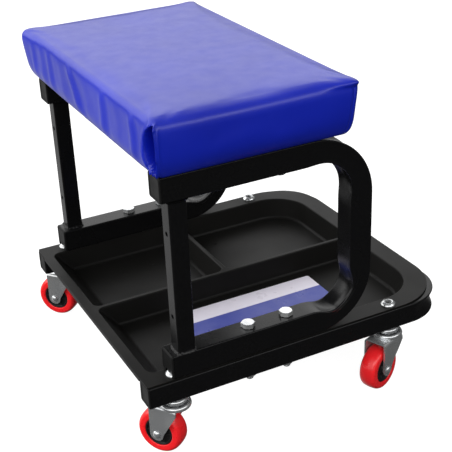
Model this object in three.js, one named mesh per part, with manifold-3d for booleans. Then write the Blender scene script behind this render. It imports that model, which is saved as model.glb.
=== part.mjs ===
// Rolling mechanic's stool: a padded seat on two C-shaped tube frames, bolted over a divided tool
// tray on a U-shaped base tube, with four swivel casters.
// Millimetres. X runs from the open front to the rounded rear, Y across the stool, Z up from the floor.
import * as THREE from 'three';
import { mergeVertices } from 'three/addons/utils/BufferGeometryUtils.js';
import Module from 'manifold-3d';

const wasm = await Module();
wasm.setup();

// ---- driving dimensions -------------------------------------------------------------------------

const GAP = 0.3; // between pieces that touch
const HOLE_SIDES = 12;

// The origin is on the floor at the middle of the whole outline. The casters stand turned, so the
// stool's own mid plane lies a little to one side of it.
const MID_PLANE_Y = -6.3;

// base tube, bent in a U and open to the front
const BASE_FRONT = -182.5;
const BASE_REAR = 182.5;
const BASE_HALF_WIDTH = 168.2;
const BASE_WIDTH = 22;
const BASE_HEIGHT = 23.5;
const BASE_BOTTOM = 69.7;
const BASE_TOP = BASE_BOTTOM + BASE_HEIGHT;
const BASE_BEND_RADIUS = 39; // centre line, tighter than the flange's corner
const TUBE_WALL = 1.5;
const CAP_HEAD = 2;

// tray, hung inside the base tube by its flange
const FLANGE_THICKNESS = 1.7;
const FLANGE_BOTTOM = BASE_TOP + GAP;
const FLANGE_TOP = FLANGE_BOTTOM + FLANGE_THICKNESS;
const FLANGE_SETBACK = 1.2; // the tube stands proud of the flange
const FLANGE_CORNER = 64;
const TRAY_WALL = 1.8;
const TRAY_FLOOR = 70;
const WELL_FRONT = -171;
const WELL_REAR = 157.5;
const WELL_HALF_WIDTH = 144.3;
const WELL_CORNER = 47;
const WELL_OUTER_CORNER = 50;
const SMALL_CORNER = 8;
const WALL_LEAN = 5; // how far a wall leans in from its top to the floor
const FRONT_LEAN = 21;
const EDGE_ROUND = 1.4;
const DIVIDER_HALF = 3;
const CROSS_DIVIDER_X = -9.4;
const LIP_HEIGHT = 5;
const LIP_THICKNESS = 1.5;

// printed label on the near compartment's floor
const LABEL = { front: -90, rear: 87, near: -85, far: -21, thickness: 0.4 };

// C frames, one each side
const FRAME_Y = 155.2;
const FRAME_WIDTH = 25;
const FRAME_DEPTH = 25.7;
const FRAME_FRONT = -155.4;
const FRAME_REAR = 74;
const FRAME_BOTTOM = FLANGE_TOP + GAP;
const FRAME_TOP = 309.5;
const LOWER_BEND_RADIUS = 48; // centre line
const UPPER_BEND_RADIUS = 59.5;

// front posts, square tube between the arms of each C
const POST_CENTRE_X = -137.9;
const POST_LENGTH_X = 18.6;
const POST_WIDTH_Y = 17.6;
const POST_Y = 157.8;
const POST_HOLE_RADIUS = 2.4;
const POST_HOLE_HEIGHTS = [159.9, 248.6];

// seat
const SEAT = { front: -163.4, rear: 48.8, halfWidth: 177.8, bottom: 309.8, corner: 8 };
const COVER_THICKNESS = 1.2;
const BOARD_THICKNESS = 12;
const BOARD_INSET = 11.1;
// outline inset at each height above the seat's bottom: tucked under below, rounded over above
const SEAT_PROFILE = [[0, 9.5], [3.7, 6], [13.7, 1.6], [27.7, 0], [43.7, 0.8], [49.7, 3.4], [53.3, 8.5], [54.8, 15]];

// fasteners
const BOLT_RADIUS = 4;
const BOLT_HOLE_RADIUS = 4.4;
const BOLT_HEAD_RADIUS = 7.5; // across corners
const BOLT_HEAD_HEIGHT = 5;
const BOLT_TIP = 59;
const NUT_HEIGHT = 6.5;
const BOLT_XS = [-65, -21];
const SEAT_SCREW_RADIUS = 3;
const SEAT_SCREW_XS = [-110, -25];

// casters: swivel axis places and the way each wheel trails, degrees from +X towards +Y
const CASTER_FRONT_X = -150.5;
const CASTER_REAR_X = 105;
const CASTER_Y = 157.4;
const CASTERS = [
  { name: 'front_near', x: CASTER_FRONT_X, y: -CASTER_Y, heading: 126 },
  { name: 'front_far', x: CASTER_FRONT_X, y: CASTER_Y, heading: 131 },
  { name: 'rear_near', x: CASTER_REAR_X, y: -CASTER_Y, heading: 203 },
  { name: 'rear_far', x: CASTER_REAR_X, y: CASTER_Y, heading: 168 },
];
const WHEEL_RADIUS = 25;
const WHEEL_SIDES = 20;
const TYRE_HALF_WIDTH = 9.8;
const HUB_RADIUS = 15.3;
const TRAIL = 17;
const FORK_GAP_HALF = 11.2; // between the legs' inner faces
const FORK_SHEET = 2;
const CROWN_TOP = 59.6;
const CROWN_RADIUS = 16.4;
const RACE_TOP = 63.8;
const LEG_FRONT = TRAIL + 7.5;
const LEG_REAR = -9.5;
const LEG_END_RADIUS = 7.5;
const CUP_RADIUS = 12.8;
const STEM_TOP = 98.4;
const AXLE_RADIUS = 3;
const BUSH_RADIUS = 4.6;
const NUT_FLANGE_RADIUS = 8;
const CASTER_NUT_HEIGHT = 3.6;
const NUT_CLEARANCE = 0.9;

// ---- materials ----------------------------------------------------------------------------------

function finish(color, roughness, metalness) {
  return new THREE.MeshStandardMaterial({ color, roughness, metalness });
}

const blackPaint = () => finish(0x111112, 0.35, 0.4);
const blackPlastic = () => finish(0x17181a, 0.5, 0);
const zinc = () => finish(0xd4d7da, 0.25, 1);
const redUrethane = () => finish(0xd9161c, 0.35, 0);
const blueVinyl = () => finish(0x1a2bb0, 0.35, 0);
const paleFoam = () => finish(0xe6dfc4, 0.95, 0);
const plywood = () => finish(0x2a2520, 0.8, 0);
const printedFilm = () => finish(0xd9dcec, 0.4, 0);

// ---- solids -------------------------------------------------------------------------------------

function toSolid(geometry) {
  const bare = geometry.clone();
  bare.deleteAttribute('normal');
  bare.deleteAttribute('uv');
  const merged = mergeVertices(bare, 1e-4);
  return new wasm.Manifold(new wasm.Mesh({
    numProp: 3,
    vertProperties: Float32Array.from(merged.attributes.position.array),
    triVerts: Uint32Array.from(merged.index.array),
  }));
}

function toGeometry(solid) {
  const mesh = solid.getMesh();
  const geometry = new THREE.BufferGeometry();
  geometry.setAttribute('position', new THREE.BufferAttribute(mesh.vertProperties, 3));
  geometry.setIndex(new THREE.BufferAttribute(mesh.triVerts, 1));
  return geometry;
}

// One geometry from those joined, less those cut away.
function combine(joined, cut = []) {
  let solid = toSolid(joined[0]);
  for (const geometry of joined.slice(1)) {
    solid = solid.add(toSolid(geometry));
  }
  for (const geometry of cut) {
    solid = solid.subtract(toSolid(geometry));
  }
  return toGeometry(solid);
}

// Upright cylinder or prism from z0 to z1.
function upright(radius, z0, z1, sides = HOLE_SIDES) {
  const geometry = new THREE.CylinderGeometry(radius, radius, z1 - z0, sides);
  return geometry.rotateX(Math.PI / 2).translate(0, 0, (z0 + z1) / 2);
}

function block(x0, x1, y0, y1, z0, z1) {
  const geometry = new THREE.BoxGeometry(x1 - x0, y1 - y0, z1 - z0);
  return geometry.translate((x0 + x1) / 2, (y0 + y1) / 2, (z0 + z1) / 2);
}

// Profile of [radius, height] points turned about Z.
function turned(profile, sides) {
  const points = profile.map(([radius, height]) => new THREE.Vector2(radius, height));
  return new THREE.LatheGeometry(points, sides).rotateX(Math.PI / 2);
}

// Counter-clockwise outline of a rectangle, with a radius for each corner from (x0, y0) onwards.
function roundedOutline(x0, x1, y0, y1, radii, segments) {
  const centres = [
    [x0 + radii[0], y0 + radii[0]],
    [x1 - radii[1], y0 + radii[1]],
    [x1 - radii[2], y1 - radii[2]],
    [x0 + radii[3], y1 - radii[3]],
  ];
  const outline = [];
  centres.forEach(([cx, cy], corner) => {
    for (let i = 0; i <= segments; i += 1) {
      const angle = Math.PI + (corner + i / Math.max(segments, 1)) * Math.PI / 2;
      const x = cx + radii[corner] * Math.cos(angle);
      const y = cy + radii[corner] * Math.sin(angle);
      outline.push(new THREE.Vector2(x, y));
    }
  });
  return outline;
}

// Closed solid through a stack of outlines with equal point counts, each { z, outline }, lowest first.
function loft(rings) {
  const count = rings[0].outline.length;
  const positions = [];
  const indices = [];
  for (const { z, outline } of rings) {
    for (const point of outline) {
      positions.push(point.x, point.y, z);
    }
  }
  for (let ring = 0; ring < rings.length - 1; ring += 1) {
    for (let i = 0; i < count; i += 1) {
      const a = ring * count + i;
      const b = ring * count + (i + 1) % count;
      indices.push(a, b, b + count, a, b + count, a + count);
    }
  }
  const top = (rings.length - 1) * count;
  for (const [a, b, c] of THREE.ShapeUtils.triangulateShape(rings[0].outline, [])) {
    indices.push(a, c, b);
  }
  for (const [a, b, c] of THREE.ShapeUtils.triangulateShape(rings.at(-1).outline, [])) {
    indices.push(top + a, top + b, top + c);
  }
  const geometry = new THREE.BufferGeometry();
  geometry.setAttribute('position', new THREE.Float32BufferAttribute(positions, 3));
  geometry.setIndex(indices);
  return geometry;
}

// ---- bent tube ----------------------------------------------------------------------------------

const BEND_SEGMENTS = 6;

// A route of straight legs and round bends, known at its stations only.
class TubeRoute extends THREE.Curve {
  constructor(stations) {
    super();
    this.stations = stations;
  }

  at(t) {
    return this.stations[Math.round(t * (this.stations.length - 1))];
  }

  getPointAt(t) {
    return this.at(t).point.clone();
  }

  getTangentAt(t) {
    return this.at(t).tangent.clone();
  }
}

// Stations along a route that starts at a point, runs along "ahead" and bends towards "side".
function routeStations(start, ahead, side, legs) {
  let angle = 0;
  const direction = (turn) => ahead.clone().multiplyScalar(Math.cos(turn))
    .addScaledVector(side, Math.sin(turn));
  const stations = [{ point: start.clone(), tangent: direction(0) }];
  for (const leg of legs) {
    const from = stations.at(-1).point;
    if (leg.length) {
      const point = from.clone().addScaledVector(direction(angle), leg.length);
      stations.push({ point, tangent: direction(angle) });
      continue;
    }
    const centre = from.clone().addScaledVector(direction(angle + Math.PI / 2), leg.radius);
    for (let i = 1; i <= BEND_SEGMENTS; i += 1) {
      const turn = angle + (i / BEND_SEGMENTS) * Math.PI / 2;
      const point = centre.clone().addScaledVector(direction(turn - Math.PI / 2), leg.radius);
      stations.push({ point, tangent: direction(turn) });
    }
    angle += Math.PI / 2;
  }
  return stations;
}

// Rectangle with its corners rounded, or square where the radius is left out. On a route that starts
// along X its depth is upright.
function rectangleShape(depth, width, radius = 0) {
  const segments = radius ? 2 : 0;
  const radii = Array(4).fill(radius);
  return new THREE.Shape(roundedOutline(-depth / 2, depth / 2, -width / 2, width / 2, radii, segments));
}

function hollowSection(depth, width, cornerRadius) {
  const section = rectangleShape(depth, width, cornerRadius);
  section.holes.push(rectangleShape(depth - 2 * TUBE_WALL, width - 2 * TUBE_WALL));
  return section;
}

function bentTube(section, stations) {
  const extrudePath = new TubeRoute(stations);
  return new THREE.ExtrudeGeometry(section, { steps: stations.length - 1, extrudePath });
}

// Plastic plug for an open tube end that faces -X: a head over the wall and a body inside it.
function endPlug(faceX, depthZ, widthY, centreY, centreZ) {
  const head = new THREE.ExtrudeGeometry(rectangleShape(widthY, depthZ, 2), {
    depth: CAP_HEAD,
    bevelEnabled: false,
  });
  head.rotateX(Math.PI / 2).rotateZ(Math.PI / 2).translate(faceX, centreY, centreZ);
  const halfY = widthY / 2 - TUBE_WALL - GAP;
  const halfZ = depthZ / 2 - TUBE_WALL - GAP;
  const body = block(
    faceX + CAP_HEAD / 2, faceX + CAP_HEAD + 6,
    centreY - halfY, centreY + halfY, centreZ - halfZ, centreZ + halfZ,
  );
  return combine([head, body]);
}

// ---- where the fasteners pass ---------------------------------------------------------------------

function boltPlaces(side) {
  return BOLT_XS.map((x) => ({ x, y: side * FRAME_Y }));
}

function screwPlaces(side) {
  return SEAT_SCREW_XS.map((x) => ({ x, y: side * FRAME_Y }));
}

function casterPlaces() {
  return CASTERS.map(({ x, y }) => ({ x, y }));
}

function holesAt(places, radius, z0, z1) {
  return places.map(({ x, y }) => upright(radius, z0, z1).translate(x, y, 0));
}

// ---- base -----------------------------------------------------------------------------------------

const BASE_CENTRE_Y = BASE_HALF_WIDTH - BASE_WIDTH / 2;
const BASE_CENTRE_Z = BASE_BOTTOM + BASE_HEIGHT / 2;

function baseTube() {
  const start = new THREE.Vector3(BASE_FRONT + CAP_HEAD + GAP, -BASE_CENTRE_Y, BASE_CENTRE_Z);
  const rearCentre = BASE_REAR - BASE_WIDTH / 2;
  const side = rearCentre - BASE_BEND_RADIUS - start.x;
  const across = 2 * (BASE_CENTRE_Y - BASE_BEND_RADIUS);
  const bend = { radius: BASE_BEND_RADIUS };
  const legs = [{ length: side }, bend, { length: across }, bend, { length: side }];
  const ahead = new THREE.Vector3(1, 0, 0);
  const inward = new THREE.Vector3(0, 1, 0);
  const stations = routeStations(start, ahead, inward, legs);
  const tube = bentTube(hollowSection(BASE_HEIGHT, BASE_WIDTH, 2), stations);
  const places = [...boltPlaces(-1), ...boltPlaces(1), ...casterPlaces()];
  return combine([tube], holesAt(places, BOLT_HOLE_RADIUS, BASE_BOTTOM - 5, BASE_TOP + 5));
}

function baseCap(side) {
  return endPlug(BASE_FRONT, BASE_HEIGHT, BASE_WIDTH, side * BASE_CENTRE_Y, BASE_CENTRE_Z);
}

// ---- tray -----------------------------------------------------------------------------------------

const TRAY_SEGMENTS = 5;

// A tray compartment as the space it holds, from the floor up past the flange.
function compartment({ front, rear, near, far, radii, frontLean }) {
  const ring = (z, lean, frontIn) => {
    const corners = radii.map((radius) => Math.max(radius - lean, 2.5));
    const outline = roundedOutline(front + frontIn, rear - lean, near + lean, far - lean, corners, TRAY_SEGMENTS);
    return { z, outline };
  };
  return loft([
    ring(TRAY_FLOOR, WALL_LEAN + 1.5, frontLean + 1.5),
    ring(TRAY_FLOOR + 2.5, WALL_LEAN - 0.8, frontLean - 2.5),
    ring(FLANGE_TOP - EDGE_ROUND, 0, 0),
    ring(FLANGE_TOP + 0.1, -EDGE_ROUND, -EDGE_ROUND),
  ]);
}

function trayWell() {
  const ring = (z, lean, frontIn) => ({
    z,
    outline: roundedOutline(
      WELL_FRONT - TRAY_WALL + frontIn,
      WELL_REAR + TRAY_WALL - lean,
      -WELL_HALF_WIDTH - TRAY_WALL + lean,
      WELL_HALF_WIDTH + TRAY_WALL - lean,
      [SMALL_CORNER, WELL_OUTER_CORNER, WELL_OUTER_CORNER, SMALL_CORNER],
      TRAY_SEGMENTS,
    ),
  });
  const under = TRAY_FLOOR - TRAY_WALL;
  return loft([
    ring(under, WALL_LEAN + 1.5, FRONT_LEAN + 1.5),
    ring(under + 2.5, WALL_LEAN - 0.8, FRONT_LEAN - 2.5),
    ring(FLANGE_BOTTOM + 0.5, 0, 0),
  ]);
}

function trayFlange() {
  const halfWidth = BASE_HALF_WIDTH - FLANGE_SETBACK;
  const outline = roundedOutline(
    BASE_FRONT, BASE_REAR - FLANGE_SETBACK, -halfWidth, halfWidth,
    [2, FLANGE_CORNER, FLANGE_CORNER, 2], BEND_SEGMENTS,
  );
  return new THREE.ExtrudeGeometry(new THREE.Shape(outline), {
    depth: FLANGE_THICKNESS,
    bevelEnabled: false,
  }).translate(0, 0, FLANGE_BOTTOM);
}

function tray() {
  const lipHalf = BASE_HALF_WIDTH - BASE_WIDTH - 1;
  const lip = block(
    BASE_FRONT, BASE_FRONT + LIP_THICKNESS, -lipHalf, lipHalf,
    FLANGE_TOP - LIP_HEIGHT, FLANGE_TOP - 0.5,
  );
  const near = {
    front: WELL_FRONT,
    rear: WELL_REAR,
    near: -WELL_HALF_WIDTH,
    far: -DIVIDER_HALF,
    radii: [SMALL_CORNER, WELL_CORNER, SMALL_CORNER, SMALL_CORNER],
    frontLean: FRONT_LEAN,
  };
  const farFront = {
    front: WELL_FRONT,
    rear: CROSS_DIVIDER_X - DIVIDER_HALF,
    near: DIVIDER_HALF,
    far: WELL_HALF_WIDTH,
    radii: Array(4).fill(SMALL_CORNER),
    frontLean: FRONT_LEAN,
  };
  const farRear = {
    front: CROSS_DIVIDER_X + DIVIDER_HALF,
    rear: WELL_REAR,
    near: DIVIDER_HALF,
    far: WELL_HALF_WIDTH,
    radii: [SMALL_CORNER, SMALL_CORNER, WELL_CORNER, SMALL_CORNER],
    frontLean: WALL_LEAN,
  };
  const places = [...boltPlaces(-1), ...boltPlaces(1), ...casterPlaces()];
  const holes = holesAt(places, BOLT_HOLE_RADIUS, FLANGE_BOTTOM - 3, FLANGE_TOP + 3);
  const spaces = [near, farFront, farRear].map(compartment);
  return combine([trayFlange(), trayWell(), lip], [...spaces, ...holes]);
}

function label() {
  const floor = TRAY_FLOOR + GAP;
  return block(LABEL.front, LABEL.rear, LABEL.near, LABEL.far, floor, floor + LABEL.thickness);
}

// ---- C frames and posts ------------------------------------------------------------------------------

const LOWER_ARM_Z = FRAME_BOTTOM + FRAME_DEPTH / 2;
const UPPER_ARM_Z = FRAME_TOP - FRAME_DEPTH / 2;

// Room round a front caster's nut, which stands under the lower arm's open end.
function nutPocket(side) {
  const height = GAP + CASTER_NUT_HEIGHT + NUT_CLEARANCE;
  return upright(NUT_FLANGE_RADIUS + NUT_CLEARANCE, FLANGE_TOP - 1, FLANGE_TOP + height)
    .translate(CASTER_FRONT_X, side * CASTER_Y, 0);
}

function cFrame(side) {
  const start = new THREE.Vector3(FRAME_FRONT + CAP_HEAD + GAP, side * FRAME_Y, LOWER_ARM_Z);
  const legX = FRAME_REAR - FRAME_DEPTH / 2;
  const legs = [
    { length: legX - LOWER_BEND_RADIUS - start.x },
    { radius: LOWER_BEND_RADIUS },
    { length: UPPER_ARM_Z - LOWER_ARM_Z - LOWER_BEND_RADIUS - UPPER_BEND_RADIUS },
    { radius: UPPER_BEND_RADIUS },
    { length: legX - UPPER_BEND_RADIUS - start.x },
  ];
  const ahead = new THREE.Vector3(1, 0, 0);
  const upward = new THREE.Vector3(0, 0, 1);
  const stations = routeStations(start, ahead, upward, legs);
  const tube = bentTube(hollowSection(FRAME_DEPTH, FRAME_WIDTH, 2), stations);
  return combine([tube], [
    ...holesAt(boltPlaces(side), BOLT_HOLE_RADIUS, FRAME_BOTTOM - 5, FRAME_BOTTOM + FRAME_DEPTH + 5),
    ...holesAt(screwPlaces(side), SEAT_SCREW_RADIUS + 0.4, FRAME_TOP - FRAME_DEPTH - 5, FRAME_TOP + 5),
    nutPocket(side),
  ]);
}

function frameCapLower(side) {
  const plug = endPlug(FRAME_FRONT, FRAME_DEPTH, FRAME_WIDTH, side * FRAME_Y, LOWER_ARM_Z);
  return combine([plug], [nutPocket(side)]);
}

function frameCapUpper(side) {
  return endPlug(FRAME_FRONT, FRAME_DEPTH, FRAME_WIDTH, side * FRAME_Y, UPPER_ARM_Z);
}

function post(side) {
  const bottom = FRAME_BOTTOM + FRAME_DEPTH + GAP;
  const height = FRAME_TOP - FRAME_DEPTH - GAP - bottom;
  const tube = new THREE.ExtrudeGeometry(hollowSection(POST_LENGTH_X, POST_WIDTH_Y, 2), {
    depth: height,
    bevelEnabled: false,
  }).translate(POST_CENTRE_X, side * POST_Y, bottom);
  const face = POST_CENTRE_X - POST_LENGTH_X / 2;
  const holes = POST_HOLE_HEIGHTS.map((z) => {
    const drill = new THREE.CylinderGeometry(POST_HOLE_RADIUS, POST_HOLE_RADIUS, 6, HOLE_SIDES);
    return drill.rotateZ(Math.PI / 2).translate(face, side * POST_Y, z);
  });
  return combine([tube], holes);
}

// ---- seat --------------------------------------------------------------------------------------------

const SEAT_SEGMENTS = 4;

function seatRing(z, inset) {
  const radius = Math.max(SEAT.corner - inset * 0.4, 4);
  const outline = roundedOutline(
    SEAT.front + inset, SEAT.rear - inset, -SEAT.halfWidth + inset, SEAT.halfWidth - inset,
    Array(4).fill(radius), SEAT_SEGMENTS,
  );
  return { z, outline };
}

function seatBody(shrink, bottom) {
  const rings = SEAT_PROFILE
    .map(([height, inset]) => [SEAT.bottom + height - shrink, inset + shrink])
    .filter(([z]) => z > bottom + 1)
    .map(([z, inset]) => seatRing(z, inset));
  const first = SEAT_PROFILE.findLast(([height]) => SEAT.bottom + height - shrink <= bottom + 1);
  return loft([seatRing(bottom, (first ?? SEAT_PROFILE[0])[1] + shrink), ...rings]);
}

function seatCover() {
  return combine([seatBody(0, SEAT.bottom)], [seatBody(COVER_THICKNESS, SEAT.bottom - 1)]);
}

function seatFoam() {
  return seatBody(COVER_THICKNESS + GAP, SEAT.bottom + BOARD_THICKNESS + GAP);
}

function seatBoard() {
  const outline = seatRing(0, BOARD_INSET).outline;
  const board = new THREE.ExtrudeGeometry(new THREE.Shape(outline), {
    depth: BOARD_THICKNESS,
    bevelEnabled: false,
  }).translate(0, 0, SEAT.bottom);
  const places = [...screwPlaces(-1), ...screwPlaces(1)];
  const holes = holesAt(places, SEAT_SCREW_RADIUS + 0.4, SEAT.bottom - 1, SEAT.bottom + 10);
  return combine([board], holes);
}

// ---- fasteners -----------------------------------------------------------------------------------------

function frameBolt() {
  const seatZ = FRAME_BOTTOM + FRAME_DEPTH + GAP;
  const head = upright(BOLT_HEAD_RADIUS, seatZ, seatZ + BOLT_HEAD_HEIGHT, 6);
  const shank = upright(BOLT_RADIUS, BOLT_TIP, seatZ + 1, 12);
  return combine([head, shank]);
}

function hexNut(z0, z1) {
  return combine([upright(BOLT_HEAD_RADIUS, z0, z1, 6)], [upright(BOLT_HOLE_RADIUS, z0 - 1, z1 + 1, 12)]);
}

function frameNut() {
  const top = BASE_BOTTOM - GAP;
  return hexNut(top - NUT_HEIGHT, top);
}

// Low domed push nut on a caster's stem.
function casterNut() {
  const bottom = FLANGE_TOP + GAP;
  const top = bottom + CASTER_NUT_HEIGHT;
  return turned([
    [BOLT_HOLE_RADIUS, bottom],
    [NUT_FLANGE_RADIUS, bottom],
    [NUT_FLANGE_RADIUS, bottom + 1.2],
    [NUT_FLANGE_RADIUS - 1.4, top - 0.8],
    [BOLT_HOLE_RADIUS + 0.9, top],
    [BOLT_HOLE_RADIUS, top - 0.3],
    [BOLT_HOLE_RADIUS, bottom],
  ], HOLE_SIDES);
}

function seatScrew() {
  const top = FRAME_TOP - FRAME_DEPTH - GAP;
  const head = upright(5.8, top - 4, top, 6);
  const shank = upright(SEAT_SCREW_RADIUS, top - 1, SEAT.bottom + 9, 12);
  return combine([head, shank]);
}

// ---- casters: each about its own swivel axis, the wheel trailing along +X ---------------------------------

function casterStem() {
  const head = upright(6.5, CROWN_TOP - FORK_SHEET - GAP - 1.8, CROWN_TOP - FORK_SHEET - GAP);
  return combine([head, upright(BOLT_RADIUS, CROWN_TOP - FORK_SHEET - 1, STEM_TOP)]);
}

function upperCup() {
  const bottom = RACE_TOP + 0.5;
  const top = BASE_BOTTOM - GAP;
  return turned([
    [BOLT_HOLE_RADIUS, bottom + 1.7],
    [7.6, bottom + 1.7],
    [8.2, bottom],
    [CUP_RADIUS, bottom],
    [CUP_RADIUS, top - 1.3],
    [CUP_RADIUS - 1, top],
    [BOLT_HOLE_RADIUS, top],
    [BOLT_HOLE_RADIUS, bottom + 1.7],
  ], HOLE_SIDES);
}

function forkLeg(side) {
  const angle = Math.atan2(CROWN_TOP - 6 - WHEEL_RADIUS, LEG_REAR - TRAIL);
  const tangent = angle + Math.acos(LEG_END_RADIUS / Math.hypot(CROWN_TOP - 6 - WHEEL_RADIUS, LEG_REAR - TRAIL));
  const outline = new THREE.Shape();
  outline.moveTo(LEG_FRONT, CROWN_TOP);
  outline.lineTo(LEG_REAR, CROWN_TOP);
  outline.lineTo(LEG_REAR, CROWN_TOP - 6);
  outline.absarc(TRAIL, WHEEL_RADIUS, LEG_END_RADIUS, tangent, 2 * Math.PI, false);
  outline.closePath();
  const inner = side > 0 ? -FORK_GAP_HALF : FORK_GAP_HALF + FORK_SHEET;
  const leg = new THREE.ExtrudeGeometry(outline, {
    depth: FORK_SHEET,
    bevelEnabled: false,
    curveSegments: 6,
  });
  return leg.rotateX(Math.PI / 2).translate(0, inner, 0);
}

function fork() {
  const crownBottom = CROWN_TOP - FORK_SHEET;
  const disc = upright(CROWN_RADIUS, crownBottom, RACE_TOP, 16);
  const dish = upright(CROWN_RADIUS - 1.5, CROWN_TOP, RACE_TOP + 1, 16);
  const plateHalf = FORK_GAP_HALF + FORK_SHEET - 0.5;
  const plate = block(0, LEG_FRONT - 2, -plateHalf, plateHalf, crownBottom, CROWN_TOP - 0.05);
  const axleHole = new THREE.CylinderGeometry(AXLE_RADIUS + 0.35, AXLE_RADIUS + 0.35, 40, HOLE_SIDES)
    .translate(TRAIL, 0, WHEEL_RADIUS);
  const stemHole = upright(BOLT_HOLE_RADIUS, crownBottom - 5, RACE_TOP + 5);
  return combine([disc, plate, forkLeg(-1), forkLeg(1)], [dish, axleHole, stemHole]);
}

// The wheel's pieces turn about Y through the axle.
function onAxle(profile, sides) {
  const points = profile.map(([radius, along]) => new THREE.Vector2(radius, along));
  const half = Math.PI / sides;
  return new THREE.LatheGeometry(points, sides).rotateY(half).translate(TRAIL, 0, WHEEL_RADIUS);
}

function mirrored(profile) {
  const back = profile.map(([radius, along]) => [radius, -along]);
  return [...back, ...profile.toReversed()];
}

function axleRivet() {
  const seat = FORK_GAP_HALF + FORK_SHEET + GAP;
  const half = [[0, seat + 2], [2.4, seat + 1.7], [4.2, seat + 0.4], [4.2, seat], [AXLE_RADIUS, seat]];
  return onAxle(mirrored(half), HOLE_SIDES);
}

function axleBush() {
  const half = FORK_GAP_HALF - GAP;
  const inner = AXLE_RADIUS + 0.35;
  return onAxle([[inner, -half], [BUSH_RADIUS, -half], [BUSH_RADIUS, half], [inner, half], [inner, -half]], HOLE_SIDES);
}

function hub() {
  const bore = BUSH_RADIUS + 0.4;
  const half = [[bore, 10.5], [7.4, 10.5], [7.9, 8], [13.3, 8], [14.2, 9.5], [HUB_RADIUS, 9.5]];
  const closed = mirrored(half);
  return onAxle([...closed, closed[0]], WHEEL_SIDES);
}

function tyre() {
  const toFlat = 1 / Math.cos(Math.PI / WHEEL_SIDES); // flats, not corners, reach the wheel's radius
  const outer = WHEEL_RADIUS * toFlat;
  const inner = HUB_RADIUS + GAP + 0.1;
  const half = [
    [inner, TYRE_HALF_WIDTH],
    [outer - 3.8, TYRE_HALF_WIDTH],
    [outer - 1.6, TYRE_HALF_WIDTH - 1],
    [outer - 0.4, TYRE_HALF_WIDTH - 3.2],
    [outer, TYRE_HALF_WIDTH - 6],
  ];
  const closed = mirrored(half);
  return onAxle([...closed, closed[0]], WHEEL_SIDES);
}

// ---- assembly ------------------------------------------------------------------------------------------

const stool = new THREE.Group();
stool.position.y = MID_PLANE_Y;

function place(group, name, geometry, material, at = { x: 0, y: 0 }) {
  const mesh = new THREE.Mesh(geometry, material);
  mesh.name = name;
  mesh.position.set(at.x, at.y, 0);
  group.add(mesh);
}

// The front and the rear one of a pair of fasteners on one side.
function placePair(name, side, geometry, [front, rear]) {
  place(stool, `${name}_front_${side}`, geometry, zinc(), front);
  place(stool, `${name}_rear_${side}`, geometry, zinc(), rear);
}

place(stool, 'seat_cover', seatCover(), blueVinyl());
place(stool, 'seat_foam', seatFoam(), paleFoam());
place(stool, 'seat_board', seatBoard(), plywood());
place(stool, 'base_tube', baseTube(), blackPaint());
place(stool, 'tray', tray(), blackPlastic());
place(stool, 'tray_label', label(), printedFilm());
for (const [name, side] of [['near', -1], ['far', 1]]) {
  place(stool, `c_frame_${name}`, cFrame(side), blackPaint());
  place(stool, `front_post_${name}`, post(side), blackPaint());
  place(stool, `base_cap_${name}`, baseCap(side), blackPlastic());
  place(stool, `frame_cap_lower_${name}`, frameCapLower(side), blackPlastic());
  place(stool, `frame_cap_upper_${name}`, frameCapUpper(side), blackPlastic());
  placePair('frame_bolt', name, frameBolt(), boltPlaces(side));
  placePair('frame_nut', name, frameNut(), boltPlaces(side));
  placePair('seat_screw', name, seatScrew(), screwPlaces(side));
}
for (const { name, x, y, heading } of CASTERS) {
  const caster = new THREE.Group();
  caster.position.set(x, y, 0);
  caster.rotation.z = THREE.MathUtils.degToRad(heading);
  place(caster, `stem_${name}`, casterStem(), zinc());
  place(caster, `stem_nut_${name}`, casterNut(), zinc());
  place(caster, `upper_cup_${name}`, upperCup(), zinc());
  place(caster, `fork_${name}`, fork(), zinc());
  place(caster, `axle_${name}`, axleRivet(), zinc());
  place(caster, `axle_bush_${name}`, axleBush(), zinc());
  place(caster, `hub_${name}`, hub(), blackPlastic());
  place(caster, `tyre_${name}`, tyre(), redUrethane());
  stool.add(caster);
}

export default stool;
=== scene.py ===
import math

import bmesh
import bpy
from mathutils import Matrix, Vector


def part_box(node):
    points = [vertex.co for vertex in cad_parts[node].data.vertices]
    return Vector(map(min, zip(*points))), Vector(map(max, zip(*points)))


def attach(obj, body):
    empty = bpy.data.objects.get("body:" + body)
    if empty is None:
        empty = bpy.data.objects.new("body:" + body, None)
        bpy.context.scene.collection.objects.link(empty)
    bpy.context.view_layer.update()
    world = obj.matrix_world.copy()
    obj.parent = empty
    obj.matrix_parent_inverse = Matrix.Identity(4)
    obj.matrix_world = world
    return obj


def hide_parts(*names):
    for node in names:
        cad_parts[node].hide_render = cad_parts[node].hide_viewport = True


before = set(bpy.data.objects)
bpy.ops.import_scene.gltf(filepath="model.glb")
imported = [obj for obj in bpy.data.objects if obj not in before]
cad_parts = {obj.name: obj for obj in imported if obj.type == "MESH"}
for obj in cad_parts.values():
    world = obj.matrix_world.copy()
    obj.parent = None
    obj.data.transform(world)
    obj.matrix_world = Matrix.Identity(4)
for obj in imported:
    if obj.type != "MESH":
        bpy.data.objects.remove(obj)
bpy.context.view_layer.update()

# Shapes below are worked out in millimetres in the CAD frame: X from the open front to the rounded
# rear, Y across, Z up from the floor. piece() turns them into metres.
MM = 0.001
SIDES = {"near": -1, "far": 1}
CASTERS = ("front_near", "front_far", "rear_near", "rear_far")
TUBE_CORNER = 1.5
TUBE_WALL = 1.5
TRAY_FLOOR = 70.0
POST_HOLE_HEIGHTS = (159.9, 248.6)


def box(node):
    low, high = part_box(node)
    return low / MM, high / MM


def middle(node):
    low, high = box(node)
    return (low + high) / 2


def smoothstep(value, low, high):
    t = min(max((value - low) / (high - low), 0.0), 1.0)
    return t * t * (3 - 2 * t)


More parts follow.
